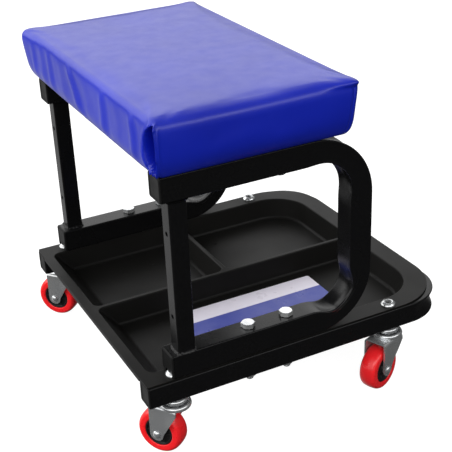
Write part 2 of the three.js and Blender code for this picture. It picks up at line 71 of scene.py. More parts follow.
def bump(value, centre, half_width):
    return math.exp(-(((value - centre) / half_width) ** 2))


# ---- meshes ----------------------------------------------------------------------------------------


class Shape:
    """Points in millimetres, and the faces between them."""

    def __init__(self):
        self.points = []
        self.faces = []

    def add(self, other, matrix=None):
        base = len(self.points)
        self.points += [matrix @ p if matrix else p for p in other.points]
        self.faces += [[base + i for i in face] for face in other.faces]
        return self


def loft(rings, closed=False):
    """Rings of equal length joined into a tube, with a face over each end, or bent round to meet."""
    shape = Shape()
    count = len(rings[0])
    shape.points = [Vector(p) for ring in rings for p in ring]
    last = len(rings) if closed else len(rings) - 1
    for ring in range(last):
        here, there = ring * count, (ring + 1) % len(rings) * count
        for i in range(count):
            j = (i + 1) % count
            shape.faces.append([here + i, here + j, there + j, there + i])
    if not closed:
        shape.faces.append(list(reversed(range(count))))
        shape.faces.append([last * count + i for i in range(count)])
    return shape


def turned(profile, sides=48, closed=False):
    """A profile of (radius, height) turned about Z. A closed profile makes a ring."""
    rings = [
        [
            (r * math.cos(2 * math.pi * i / sides), r * math.sin(2 * math.pi * i / sides), z)
            for i in range(sides)
        ]
        for r, z in profile
    ]
    return loft(rings, closed)


def rounded_outline(x0, x1, y0, y1, radii, segments):
    """Counter-clockwise rectangle with a radius for each corner from (x0, y0) onwards."""
    centres = [
        (x0 + radii[0], y0 + radii[0]),
        (x1 - radii[1], y0 + radii[1]),
        (x1 - radii[2], y1 - radii[2]),
        (x0 + radii[3], y1 - radii[3]),
    ]
    outline = []
    for corner, (cx, cy) in enumerate(centres):
        for i in range(segments + 1):
            angle = math.pi + (corner + i / segments) * math.pi / 2
            outline.append(
                (cx + radii[corner] * math.cos(angle), cy + radii[corner] * math.sin(angle))
            )
    return outline


def centred_outline(cx, cy, half_x, half_y, inset, radius):
    """Rounded rectangle about a centre, its sides drawn in by inset."""
    x0, x1 = cx - half_x + inset, cx + half_x - inset
    y0, y1 = cy - half_y + inset, cy + half_y - inset
    return rounded_outline(x0, x1, y0, y1, [radius] * 4, 5)


def slab(outline, z0, z1):
    return loft([[(x, y, z) for x, y in outline] for z in (z0, z1)])


def mesh_object(name, shape, sharp):
    mesh = bpy.data.meshes.new(name)
    mesh.from_pydata([p * MM for p in shape.points], [], shape.faces)
    obj = bpy.data.objects.new(name, mesh)
    bpy.context.scene.collection.objects.link(obj)
    tidy_mesh(obj, sharp)
    return obj


def piece(name, shape, body, material, replaces=(), sharp=32):
    obj = mesh_object(name, shape, sharp)
    obj.data.materials.append(material)
    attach(obj, body)
    if replaces:
        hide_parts(*replaces)
    return obj


def tidy_mesh(obj, sharp):
    work = bmesh.new()
    work.from_mesh(obj.data)
    bmesh.ops.remove_doubles(work, verts=work.verts, dist=1e-7)
    bmesh.ops.dissolve_degenerate(work, edges=work.edges, dist=1e-8)
    bmesh.ops.recalc_face_normals(work, faces=work.faces)
    work.to_mesh(obj.data)
    work.free()
    obj.data.shade_smooth()
    obj.data.set_sharp_from_angle(angle=math.radians(sharp))


def round_edges(obj, width, segments=2, angle=32):
    bevel = obj.modifiers.new("bevel", "BEVEL")
    bevel.width = width * MM
    bevel.segments = segments
    bevel.limit_method = "ANGLE"
    bevel.angle_limit = math.radians(angle)
    bevel.use_clamp_overlap = True
    bevel.miter_outer = "MITER_ARC"
    even_normals(obj)


def even_normals(obj):
    weighted = obj.modifiers.new("normals", "WEIGHTED_NORMAL")
    weighted.keep_sharp = True
    weighted.weight = 90


def combined(name, shapes, operation):
    """The first shape with each of the others added, cut away or kept in common, as a new shape."""
    objects = [mesh_object(f"{name}_{i}", shape, 30) for i, shape in enumerate(shapes)]
    for other in objects[1:]:
        cut = objects[0].modifiers.new(other.name, "BOOLEAN")
        cut.operation = operation
        cut.solver = "EXACT"
        cut.object = other
    graph = bpy.context.evaluated_depsgraph_get()
    result = objects[0].evaluated_get(graph).to_mesh()
    shape = Shape()
    shape.points = [v.co / MM for v in result.vertices]
    shape.faces = [list(face.vertices) for face in result.polygons]
    for obj in objects:
        bpy.data.objects.remove(obj)
    return shape


# ---- materials -------------------------------------------------------------------------------------


class Material:
    """A Principled material with its node tree built up by short calls."""

    def __init__(self, name, colour, roughness, **inputs):
        self.material = bpy.data.materials.new(name)
        self.material.use_nodes = True
        self.nodes = self.material.node_tree.nodes
        self.links = self.material.node_tree.links
        self.shader = self.nodes["Principled BSDF"]
        self.set("Base Color", (*colour, 1))
        self.set("Roughness", roughness)
        for key, value in inputs.items():
            self.set(key.replace("_", " "), value)
        self.place = self.nodes.new("ShaderNodeTexCoord").outputs["Object"]
        self.normal = None

    def set(self, socket, value):
        self.shader.inputs[socket].default_value = value

    def link(self, source, socket):
        self.links.new(source, self.shader.inputs[socket])

    def node(self, kind, inputs=None, **settings):
        node = self.nodes.new(kind)
        for key, value in settings.items():
            setattr(node, key, value)
        for key, value in (inputs or {}).items():
            if isinstance(value, bpy.types.NodeSocket):
                self.links.new(value, node.inputs[key])
            else:
                node.inputs[key].default_value = value
        return node

    def stretched(self, scale):
        return self.node("ShaderNodeMapping", {"Vector": self.place, "Scale": scale}).outputs[0]

    def noise(self, scale, detail=3, roughness=0.55, place=None):
        inputs = {
            "Vector": place or self.place,
            "Scale": scale,
            "Detail": detail,
            "Roughness": roughness,
        }
        return self.node("ShaderNodeTexNoise", inputs).outputs["Fac"]

    def grain(self, scale):
        inputs = {"Vector": self.place, "Scale": scale, "Randomness": 1.0}
        feature = "DISTANCE_TO_EDGE"
        return self.node("ShaderNodeTexVoronoi", inputs, feature=feature).outputs["Distance"]

    def ramp(self, value, *stops):
        node = self.node("ShaderNodeValToRGB", {"Fac": value})
        ramp = node.color_ramp
        while len(ramp.elements) < len(stops):
            ramp.elements.new(0.5)
        for element, (position, colour) in zip(ramp.elements, stops):
            element.position = position
            element.color = (*colour, 1) if isinstance(colour, tuple) else (colour,) * 3 + (1,)
        return node.outputs["Color"]

    def range(self, value, low, high, to_low, to_high):
        inputs = {
            "Value": value,
            "From Min": low,
            "From Max": high,
            "To Min": to_low,
            "To Max": to_high,
        }
        return self.node("ShaderNodeMapRange", inputs).outputs[0]

    def mix(self, factor, first, second):
        node = self.node("ShaderNodeMix", {"Factor": factor}, data_type="RGBA")
        for index, colour in ((6, first), (7, second)):
            if isinstance(colour, tuple):
                node.inputs[index].default_value = (*colour, 1)
            else:
                self.links.new(colour, node.inputs[index])
        return node.outputs[2]

    def vary_roughness(self, texture, low, high):
        self.link(self.range(texture, 0.3, 0.7, low, high), "Roughness")

    def vary_colour(self, texture, first, second, start=0.3, end=0.7):
        share = self.range(texture, start, end, 0, 1)
        self.link(self.mix(share, first, second), "Base Color")

    def raise_by(self, height, strength, distance):
        """Adds a bump, distance in millimetres, on top of those already there."""
        inputs = {"Height": height, "Strength": strength, "Distance": distance * MM}
        if self.normal:
            inputs["Normal"] = self.normal
        self.normal = self.node("ShaderNodeBump", inputs).outputs[0]
        self.link(self.normal, "Normal")


def blue_vinyl():
    m = Material("blue_vinyl", (0.006, 0.012, 0.42), 0.34, IOR=1.5, Coat_Weight=0.2)
    m.set("Coat Roughness", 0.24)
    m.vary_colour(m.noise(9, 4), (0.004, 0.014, 0.37), (0.006, 0.02, 0.46))
    m.vary_roughness(m.noise(60, 3), 0.3, 0.38)
    m.raise_by(m.range(m.grain(900), 0, 0.12, 0, 1), 0.22, 0.05)
    m.raise_by(m.noise(35, 2), 0.25, 0.5)
    return m.material


def black_powder_coat():
    m = Material("black_powder_coat", (0.005, 0.005, 0.0052), 0.26, IOR=1.5)
    m.set("Specular IOR Level", 0.28)
    m.vary_colour(m.noise(420, 3), (0.0042, 0.0042, 0.0044), (0.006, 0.006, 0.0064), 0.35, 0.65)
    m.vary_roughness(m.noise(25, 4), 0.22, 0.3)
    m.raise_by(m.noise(700, 2, 0.4), 0.12, 0.05)
    return m.material


def moulded_plastic():
    m = Material("moulded_black_plastic", (0.007, 0.007, 0.0068), 0.42, IOR=1.48)
    m.set("Specular IOR Level", 0.15)
    m.vary_roughness(m.noise(18, 3), 0.38, 0.48)
    m.vary_colour(m.noise(6, 3), (0.0062, 0.006, 0.0056), (0.0085, 0.0082, 0.0076))
    m.raise_by(m.noise(1400, 2, 0.6), 0.1, 0.03)
    return m.material


def cap_plastic():
    m = Material("plug_plastic", (0.009, 0.009, 0.009), 0.45, IOR=1.48)
    m.set("Specular IOR Level", 0.16)
    m.vary_roughness(m.noise(120, 3), 0.4, 0.52)
    m.raise_by(m.noise(900, 2, 0.6), 0.12, 0.03)
    return m.material


def zinc_plate():
    m = Material("zinc_plate", (0.78, 0.79, 0.8), 0.2, Metallic=0.82)
    m.vary_roughness(m.noise(60, 3), 0.15, 0.25)
    m.vary_colour(m.noise(40, 4), (0.74, 0.76, 0.78), (0.86, 0.87, 0.86), 0.35, 0.7)
    m.raise_by(m.noise(120, 2, place=m.stretched((1, 1, 0.15))), 0.06, 0.03)
    return m.material


def red_urethane():
    m = Material("red_urethane", (0.8, 0.012, 0.018), 0.24, IOR=1.5, Coat_Weight=0.4)
    m.set("Coat Roughness", 0.12)
    m.vary_roughness(m.noise(70, 3), 0.22, 0.36)
    m.vary_colour(m.noise(30, 3), (0.9, 0.014, 0.018), (0.97, 0.02, 0.026))
    m.raise_by(m.noise(260, 2), 0.05, 0.08)
    return m.material


def black_nylon():
    m = Material("black_nylon", (0.011, 0.011, 0.011), 0.38, IOR=1.5)
    m.vary_roughness(m.noise(150, 3), 0.32, 0.46)
    m.raise_by(m.noise(500, 2), 0.08, 0.04)
    return m.material


def dust_cloth():
    m = Material("dust_cloth", (0.012, 0.012, 0.012), 0.95)
    m.set("Sheen Weight", 0.25)
    m.link(m.mix(m.noise(220, 4), (0.006, 0.006, 0.006), (0.03, 0.03, 0.03)), "Base Color")
    m.raise_by(m.noise(600, 5, 0.7, m.stretched((1, 0.4, 1))), 0.5, 0.25)
    return m.material


def printed_film(low, high):
    """A plain two-band print: pale along the inner side, blue along the outer one."""
    m = Material("printed_film", (0.6, 0.57, 0.65), 0.3, IOR=1.5)
    across = m.node("ShaderNodeSeparateXYZ", {"Vector": m.place}).outputs["Y"]
    share = m.range(across, low.y * MM, high.y * MM, 0, 1)
    pale, blue, deep = (0.84, 0.8, 0.9), (0.03, 0.05, 0.36), (0.02, 0.035, 0.3)
    bands = m.ramp(share, (0.0, deep), (0.3, blue), (0.585, blue), (0.6, pale))
    m.link(m.mix(m.range(m.noise(120, 3), 0.3, 0.7, 0, 0.06), bands, (0.4, 0.4, 0.45)), "Base Color")
    m.vary_roughness(m.noise(50, 2), 0.26, 0.36)
    m.raise_by(m.noise(25, 2), 0.1, 0.4)
    return m.material


def ball_steel():
    m = Material("steel_ball", (0.7, 0.7, 0.72), 0.12, Metallic=1.0)
    m.vary_roughness(m.noise(200, 2), 0.08, 0.2)
    return m.material


# ---- bent tube -------------------------------------------------------------------------------------


def bent_route(start, ahead, side, legs):
    """Stations of (point, outward, along) on straight legs and quarter bends towards side."""
    step, bend_steps = 8, 22
    angle = 0.0
    along = 0.0
    point = Vector(start)
    bends = []

    def heading(turn):
        return ahead * math.cos(turn) + side * math.sin(turn)

    stations = [(point, -heading(angle + math.pi / 2), 0.0)]
    for kind, size in legs:
        if kind == "straight":
            count = max(1, round(size / step))
            outward = -heading(angle + math.pi / 2)
            for i in range(1, count + 1):
                here = point + heading(angle) * size * i / count
                stations.append((here, outward, along + size * i / count))
            point = stations[-1][0]
            along += size
            continue
        centre = point + heading(angle + math.pi / 2) * size
        length = size * math.pi / 2
        for i in range(1, bend_steps + 1):
            turn = angle + math.pi / 2 * i / bend_steps
            outward = -heading(turn + math.pi / 2)
            stations.append((centre + outward * size, outward, along + length * i / bend_steps))
        bends.append((along + length / 2, length / 2))
        angle += math.pi / 2
        along += length
        point = stations[-1][0]
    return stations, bends


def tube_section(depth, width, across, down):
    """Rounded rectangle of (out, side) points, fine enough along each wall to be pressed in."""
    corner, round_steps = TUBE_CORNER, 4
    half_d, half_w = depth / 2, width / 2
    spots = []

    def wall(a, b, count):
        for i in range(count):
            t = i / count
            spots.append((a[0] + (b[0] - a[0]) * t, a[1] + (b[1] - a[1]) * t))

    def turn(centre, start):
        for i in range(round_steps):
            angle = start + math.pi / 2 * i / round_steps
            spots.append(
                (centre[0] + corner * math.cos(angle), centre[1] + corner * math.sin(angle))
            )

    cd, cw = half_d - corner, half_w - corner
    wall((half_d, -cw), (half_d, cw), across)
    turn((cd, cw), 0)
    wall((cd, half_w), (-cd, half_w), down)
    turn((-cd, cw), math.pi / 2)
    wall((-half_d, cw), (-half_d, -cw), across)
    turn((-cd, -cw), math.pi)
    wall((-cd, -half_w), (cd, -half_w), down)
    turn((cd, -cw), -math.pi / 2)
    return spots


def swept_tube(stations, up, section, press):
    """Hollow tube along the stations. press(out, side, along) says where a wall has moved to."""
    depth = max(p[0] for p in section)
    width = max(p[1] for p in section)
    outer, inner = [], []
    for point, outward, along in stations:
        skin, bore = [], []
        for out, side in section:
            moved_out, moved_side = press(out, side, along)
            skin.append(point + outward * moved_out + up * moved_side)
            bore.append(
                point
                + outward * (moved_out * (1 - TUBE_WALL / depth))
                + up * (moved_side * (1 - TUBE_WALL / width))
            )
        outer.append(skin)
        inner.append(bore)
    return loft(outer + inner[::-1], closed=True)


# ---- base tube -------------------------------------------------------------------------------------

BASE_BEND = 39.0  # centre line
BASE_WIDTH = 22.0


def base_tube():
    low, high = box("base_tube")
    half, half_height = BASE_WIDTH / 2, (high.z - low.z) / 2
    start = Vector((low.x, low.y + half, low.z + half_height))
    side_length = high.x - half - BASE_BEND - low.x
    across = high.y - low.y - BASE_WIDTH - 2 * BASE_BEND
    legs = [
        ("straight", side_length),
        ("bend", BASE_BEND),
        ("straight", across),
        ("bend", BASE_BEND),
        ("straight", side_length),
    ]
    ahead, side, up = Vector((1, 0, 0)), Vector((0, 1, 0)), Vector((0, 0, 1))
    stations, bends = bent_route(start, ahead, side, legs)

    def press(out, v, along):
        share = sum(smoothstep(b[1] * 1.12 - abs(along - b[0]), 0, b[1] * 0.5) for b in bends)
        middle_wall = max(0.0, 1 - (v / half_height) ** 2)
        if out > 0:
            out -= share * 3.4 * middle_wall * out / half
        else:
            out -= share * 3.2 * middle_wall * out / half
            v *= 1 + 0.05 * share * (-out / half)
        return out, v

    tube = swept_tube(stations, up, tube_section(BASE_WIDTH, 2 * half_height, 8, 6), press)
    obj = piece("base_frame_tube", tube, "stool", powder, ["base_tube"], 40)
    even_normals(obj)


def end_plug(node):
    """Plastic plug in a tube's open front end, a rounded head with a shallow dished face."""
    low, high = box(node)
    x = low.x
    cy, cz = (low.y + high.y) / 2, (low.z + high.z) / 2
    half_y, half_z = (high.y - low.y) / 2, (high.z - low.z) / 2

    def ring(inset, at_x, radius):
        outline = centred_outline(cy, cz, half_y, half_z, inset, radius)
        return [(at_x, y, z) for y, z in outline]

    rings = [
        ring(3.4, x + 0.75, 1.4),
        ring(2.6, x + 0.3, 1.8),
        ring(1.8, x, 2.2),
        ring(0.7, x + 0.15, 2.2),
        ring(0.0, x + 0.9, 2.0),
        ring(0.0, x + 2.0, 2.0),
        ring(1.9, x + 2.0, 1.4),
        ring(2.2, x + 8.0, 1.2),
    ]
    return loft(rings)


# ---- C frames --------------------------------------------------------------------------------------

LOWER_BEND = 48.0  # centre line
UPPER_BEND = 55.0
FRAME_DEPTH = 25.7


def c_frame(side_name):
    node = f"c_frame_{side_name}"
    low, high = box(node)
    half = FRAME_DEPTH / 2
    y = (low.y + high.y) / 2
    leg_x = high.x - half
    start = Vector((low.x, y, low.z + half))
    height = high.z - low.z - FRAME_DEPTH
    legs = [
        ("straight", leg_x - LOWER_BEND - low.x),
        ("bend", LOWER_BEND),
        ("straight", height - LOWER_BEND - UPPER_BEND),
        ("bend", UPPER_BEND),
        ("straight", leg_x - UPPER_BEND - low.x),
    ]
    ahead, side, up = Vector((1, 0, 0)), Vector((0, 0, 1)), Vector((0, 1, 0))
    stations, bends = bent_route(start, ahead, side, legs)
    half_w = (high.y - low.y) / 2
    crush = ((6.5, 3.0), (2.5, 4.0))  # inner wall as a whole, and its middle, at each bend

    def press(out, v, along):
        for (centre, reach), (whole, groove) in zip(bends, crush):
            share = smoothstep(reach * 1.25 - abs(along - centre), 0, reach * 0.9)
            if share <= 0:
                continue
            middle_wall = max(0.0, 1 - (v / half_w) ** 2)
            inner = smoothstep(-out, -half * 0.2, half)
            outer = smoothstep(out, half * 0.3, half)
            pleat = math.sin((out + half) / 3.6 * math.pi) * smoothstep(-out, 1, 6)
            out += share * (whole * inner + groove * middle_wall * inner)
            out -= share * 1.8 * middle_wall * outer
            v += math.copysign(share * (0.9 * pleat + 0.5 * inner), v) * (abs(v) / half_w) ** 4
        return out, v

    section = tube_section(FRAME_DEPTH, 2 * half_w, 10, 14)
    tube = swept_tube(stations, up, section, press)
    at = middle(f"stem_nut_front_{side_name}")
    pocket = turned([(8.9, low.z - 3), (8.9, low.z + 4.5)], 32)
    pocket_at = Shape().add(pocket, Matrix.Translation((at.x, at.y, 0)))
    tube = combined(node, [tube, pocket_at], "DIFFERENCE")
    obj = piece(f"c_tube_{side_name}", tube, "stool", powder, [node], 40)
    even_normals(obj)
    for place in ("lower", "upper"):
        cap = f"frame_cap_{place}_{side_name}"
        plug = end_plug(cap)
        if place == "lower":
            plug = combined(cap, [plug, pocket_at], "DIFFERENCE")
        obj = piece(f"c_plug_{place}_{side_name}", plug, "stool", plug_finish, [cap], 40)
        even_normals(obj)


def weld_bead(cx, cy, z, half_x, half_y, flip):
    """A rippled fillet of weld round a square post's foot, or its head if flip is -1."""
    outline = centred_outline(cx, cy, half_x, half_y, 0, 2)
    dense = []
    for i, a in enumerate(outline):
        b = outline[(i + 1) % len(outline)]
        count = max(1, round(math.dist(a, b) / 0.7))
        for k in range(count):
            dense.append((a[0] + (b[0] - a[0]) * k / count, a[1] + (b[1] - a[1]) * k / count))
    rings = []
    for i, (x, y) in enumerate(dense):
        away = Vector((x - cx, y - cy, 0))
        away = Vector((away.x / half_x, away.y / half_y, 0))
        away = Vector((round(away.x * 0.98), round(away.y * 0.98), 0)) if away.length else away
        away = away.normalized() if away.length else Vector((1, 0, 0))
        size = 2.1 + 0.35 * math.sin(i * 1.15) + 0.25 * math.sin(i * 0.31 + 2)
        base = Vector((x, y, z))
        lift = Vector((0, 0, flip))
        rings.append([
            base - away * 0.6,
            base - away * 0.6 + lift * size,
            base + away * 0.35 * size + lift * size * 0.62,
            base + away * 0.62 * size + lift * size * 0.35,
            base + away * size - lift * 0.2,
        ])
    return loft(rings, closed=True)


def post(side_name):
    node = f"front_post_{side_name}"
    low, high = box(node)
    cx, cy = (low.x + high.x) / 2, (low.y + high.y) / 2
    half_x, half_y = (high.x - low.x) / 2, (high.y - low.y) / 2

    def ring(z, inset, radius):
        outline = centred_outline(cx, cy, half_x, half_y, inset, radius)
        return [(x, y, z) for x, y in outline]

    tube = loft(
        [ring(low.z, 0, 2), ring(high.z, 0, 2), ring(high.z, 1.5, 0.6), ring(low.z, 1.5, 0.6)],
        closed=True,
    )
    drills = []
    for height in POST_HOLE_HEIGHTS:
        drill = turned([(2.4, -3), (2.4, 3)], 24)
        turn = Matrix.Translation((low.x, cy, height)) @ Matrix.Rotation(math.pi / 2, 4, "Y")
        drills.append(Shape().add(drill, turn))
    tube = combined(node, [tube, *drills], "DIFFERENCE")
    obj = piece(f"post_{side_name}", tube, "stool", powder, [node], 40)
    round_edges(obj, 0.3, 2, 60)
    beads = Shape()
    beads.add(weld_bead(cx, cy, low.z, half_x, half_y, 1))
    beads.add(weld_bead(cx, cy, high.z, half_x, half_y, -1))
    piece(f"post_welds_{side_name}", beads, "stool", powder, (), 70)


# ---- tray ------------------------------------------------------------------------------------------

WELL_FRONT, WELL_REAR, WELL_HALF = -171.0, 157.5, 144.3
FLANGE_CORNER = 64.0
WELL_CORNER = 47.0
DIVIDER_HALF = 3.0
CROSS_DIVIDER_X = -9.4
TRAY_CORNER_STEPS = 14


def compartment(x0, x1, y0, y1, radii, front_lean, floor, top):
    """The space a compartment holds, from a filleted floor up leaning walls to a rolled edge."""
    lean, fillet, rolled = 5.0, 3.4, 1.7
    depth = top - floor
    rings, levels = [], []
    for i in range(5):
        angle = i / 4 * math.pi / 2
        levels.append((fillet * (1 - math.sin(angle)), fillet * (1 - math.cos(angle))))
    for grow, height in levels:
        left = 1 - height / depth
        rings.append((height, lean * left + grow, front_lean * left + grow))
    for i in range(5):
        angle = i / 4 * math.pi / 2
        out = rolled * (1 - math.cos(angle))
        rings.append((depth - rolled + rolled * math.sin(angle), -out, -out))
    rings.append((depth + 1.0, -1.75, -1.75))
    made = []
    for height, inset, front_in in rings:
        corners = [max(radius - inset, 2.0) for radius in radii]
        outline = rounded_outline(
            x0 + front_in, x1 - inset, y0 + inset, y1 - inset, corners, TRAY_CORNER_STEPS
        )
        made.append([(x, y, floor + height) for x, y in outline])
    return loft(made)


def tray():
    low, high = box("tray")
    mid = (low.y + high.y) / 2
    top = high.z
    floor = TRAY_FLOOR
    wall = 1.8
    rear = FLANGE_CORNER
    flange_outline = rounded_outline(low.x, high.x, low.y, high.y, [2, rear, rear, 2], 28)
    flange = slab(flange_outline, top - 1.7, top)
    small = 8.0

    def well_ring(z, lean, front_in):
        outline = rounded_outline(
            WELL_FRONT - wall + front_in, WELL_REAR + wall - lean,
            mid - WELL_HALF - wall + lean, mid + WELL_HALF + wall - lean,
            [small, 50, 50, small], TRAY_CORNER_STEPS,
        )
        return [(x, y, z) for x, y in outline]

    under = floor - wall
    well = loft([well_ring(under, 7, 23), well_ring(under + 2.5, 4.2, 18.5), well_ring(top - 1.2, 0, 0)])
    lip_half = 145.2
    lip = slab(
        rounded_outline(low.x, low.x + 1.5, mid - lip_half, mid + lip_half, [0.4] * 4, 2),
        top - 5, top - 0.5,
    )
    spaces = [
        compartment(WELL_FRONT, WELL_REAR, mid - WELL_HALF, mid - DIVIDER_HALF,
                    [small, WELL_CORNER, small, small], 21, floor, top),
        compartment(WELL_FRONT, CROSS_DIVIDER_X - DIVIDER_HALF, mid + DIVIDER_HALF, mid + WELL_HALF,
                    [small] * 4, 21, floor, top),
        compartment(CROSS_DIVIDER_X + DIVIDER_HALF, WELL_REAR, mid + DIVIDER_HALF, mid + WELL_HALF,
                    [small, small, WELL_CORNER, small], 5, floor, top),
    ]
    solid = combined("tray_solid", [flange, well, lip], "UNION")
    solid = combined("tray_spaces", [solid, *spaces], "DIFFERENCE")
    obj = piece("tray_moulding", solid, "stool", tray_finish, ["tray"], 28)
    round_edges(obj, 0.6, 3, 40)
    marks = Shape()
    for x, y in ((-99, 97), (-107, -24), (90, -24), (128, 110), (30, 110), (-60, 100), (20, -120)):
        mark = turned([(2.2, floor - 0.3), (2.2, floor + 0.15), (1.9, floor + 0.3), (0, floor + 0.3)], 20)
        marks.add(mark, Matrix.Translation((x, mid + y, 0)))
    piece("tray_ejector_marks", marks, "stool", tray_finish)


def tray_label():
    low, high = box("tray_label")
    outline = rounded_outline(low.x, high.x, low.y, high.y, [3] * 4, 6)
    film = slab(outline, TRAY_FLOOR + 0.05, TRAY_FLOOR + 0.3)
    obj = piece("tray_print", film, "stool", printed_film(low, high), ["tray_label"])
    round_edges(obj, 0.1, 1)


# ---- seat ------------------------------------------------------------------------------------------

# Height above the lower edge, then the inset at the near side, the front, and the rear and far sides.
SEAT_PROFILE = [
    (0, 9.5, 9, 8), (1.8, 7.6, 7, 6), (4, 5.8, 5.2, 4), (8, 3.7, 3.2, 2), (13.7, 1.6, 1.4, 0.8),
    (20, 0.5, 0.4, 0), (27.7, 0, 0, -0.6), (36, 0.1, 0.1, -1.5), (43.7, 0.8, 0.3, -2.4),
    (47.4, 1.9, 0.8, -2.8), (49.9, 3.4, 1.5, -2.8), (51.9, 5.8, 2.7, -2.3), (53.3, 8.5, 4.0, -1.3),
    (54.3, 11.6, 5.6, 0), (54.8, 15, 7.6, 1.6),
]
SEAT_CORNER = 7.0
SEAT_CORNER_STEPS = 8
BOARD_THICKNESS = 12.0


def seat_spans(low, high, spacing=5.0):
    """How many steps each straight side of the seat's outline takes."""
    return [round((high.x - low.x) / spacing), round((high.y - low.y) / spacing)] * 2


def seat_outline(insets, low, high):
    """Outline with more points near the corners, the same count at every inset."""
    near, front, rear = insets
    radius = max(SEAT_CORNER - front * 0.4, 3.0)
    x0, x1, y0, y1 = low.x + front, high.x - rear, low.y + near, high.y - rear
    counts = seat_spans(low, high)
    centres = [
        (x0 + radius, y0 + radius),
        (x1 - radius, y0 + radius),
        (x1 - radius, y1 - radius),
        (x0 + radius, y1 - radius),
    ]
    outline = []
    steps = SEAT_CORNER_STEPS
    for corner, (cx, cy) in enumerate(centres):
        arc = [
            (cx + radius * math.cos(math.pi + (corner + i / steps) * math.pi / 2),
             cy + radius * math.sin(math.pi + (corner + i / steps) * math.pi / 2))
            for i in range(steps + 1)
        ]
        outline += arc
        last_x, last_y = arc[-1]
        nx, ny = centres[(corner + 1) % 4]
        start_angle = math.pi + (corner + 1) * math.pi / 2
        next_start = (nx + radius * math.cos(start_angle), ny + radius * math.sin(start_angle))
        for i in range(1, counts[corner]):
            t = i / counts[corner]
            t += 0.075 * math.sin(-2 * math.pi * t)
            outline.append(
                (last_x + (next_start[0] - last_x) * t, last_y + (next_start[1] - last_y) * t)
            )
    return outline


def fill_ring(shape, first, counts, height_at, downward):
    """Fills the ring that starts at vertex first with a grid of quads run between its four sides."""
    steps = SEAT_CORNER_STEPS
    total = sum(counts) + 4 * steps
    starts = [steps // 2]
    for count in counts[:3]:
        starts.append(starts[-1] + count + steps)
    across, deep = counts[0] + steps, counts[1] + steps

    def at(side, k):
        return first + (starts[side] + k) % total

    near = [at(0, k) for k in range(across + 1)]
    rear = [at(1, k) for k in range(deep + 1)]
    far = [at(2, across - k) for k in range(across + 1)]
    front = [at(3, deep - k) for k in range(deep + 1)]
    points = shape.points
    corners = [points[near[0]], points[near[-1]], points[far[0]], points[far[-1]]]
    grid = [near]
    for j in range(1, deep):
        v = j / deep
        row = [front[j]]
        for i in range(1, across):
            u = i / across
            spot = points[near[i]] * (1 - v) + points[far[i]] * v
            spot = spot + points[front[j]] * (1 - u) + points[rear[j]] * u
            spot -= corners[0] * ((1 - u) * (1 - v)) + corners[1] * (u * (1 - v))
            spot -= corners[2] * ((1 - u) * v) + corners[3] * (u * v)
            row.append(len(points))
            points.append(Vector((spot.x, spot.y, spot.z + height_at(spot))))
        row.append(rear[j])
        grid.append(row)
    grid.append(far)
    for below, above in zip(grid, grid[1:]):
        for i in range(across):
            face = (below[i], below[i + 1], above[i + 1], above[i])
            shape.faces.append(face[::-1] if downward else face)


def seat_shell():
    """The closed vinyl form: crowned top, rounded sides, and an underlap round the board."""
    low, high = box("seat_cover")
    bottom = low.z
    board_top = bottom + BOARD_THICKNESS + 1
    underlap = [(board_top, 24), (board_top - 1.5, 22.6), (bottom + 6, 22.3), (bottom + 1.4, 22.0),
                (bottom + 0.2, 20.5), (bottom, 16), (bottom, 12)]
    levels = [(z, (inset,) * 3) for z, inset in underlap]
    levels += [(bottom + height, insets) for height, *insets in SEAT_PROFILE]
    shape = Shape()
    rings = [[Vector((x, y, z)) for x, y in seat_outline(insets, low, high)] for z, insets in levels]
    count = len(rings[0])
    for ring in rings:
        shape.points += ring
    for level in range(len(rings) - 1):
        for i in range(count):
            a, b = level * count + i, level * count + (i + 1) % count
            shape.faces.append((a, b, b + count, a + count))

    def crown(spot):
        from_side = min(spot.x - low.x, high.x - spot.x), min(spot.y - low.y, high.y - spot.y)
        return 1.4 * smoothstep(from_side[0], 4, 95) * smoothstep(from_side[1], 4, 110)

    counts = seat_spans(low, high)
    fill_ring(shape, (len(rings) - 1) * count, counts, crown, False)
    fill_ring(shape, 0, counts, lambda spot: 0.0, True)
    return shape, low, high


def simulate(obj, low, high, cap):
    """Air pressure fills the cover out, as the foam does. The underside is held."""
    rest = [v.co.copy() for v in obj.data.vertices]
    pin = obj.vertex_groups.new(name="held")
    for v in obj.data.vertices:
        z = v.co.z / MM
        held = 1.0 if z < low.z + 2 else 0.0
        inside = min(v.co.x / MM - low.x, high.x - v.co.x / MM,
                     v.co.y / MM - low.y, high.y - v.co.y / MM)
        if inside > 9 and z < low.z + 20:
            held = 1.0
        if held:
            pin.add([v.index], held, "REPLACE")
    cloth = obj.modifiers.new("cloth", "CLOTH")
    settings = cloth.settings
    last_frame = 20
    settings.quality = 6
    settings.mass = 0.4
    settings.tension_stiffness = 25
    settings.compression_stiffness = 25
    settings.shear_stiffness = 10
    settings.bending_stiffness = 1.5
    settings.vertex_group_mass = "held"
    settings.use_pressure = True
    settings.uniform_pressure_force = 4
    settings.effector_weights.gravity = 0
    cloth.point_cache.frame_start = 1
    cloth.point_cache.frame_end = last_frame
    scene = bpy.context.scene
    for number in range(1, last_frame + 1):
        scene.frame_set(number)
    graph = bpy.context.evaluated_depsgraph_get()
    moved = [v.co.copy() for v in obj.evaluated_get(graph).data.vertices]
    obj.modifiers.remove(cloth)
    scene.frame_set(1)
    for v, before, after in zip(obj.data.vertices, rest, moved):
        shift = after - before
        length = shift.length
        if length > 0:
            v.co = before + shift * (cap * MM * math.tanh(length / (cap * MM)) / length)


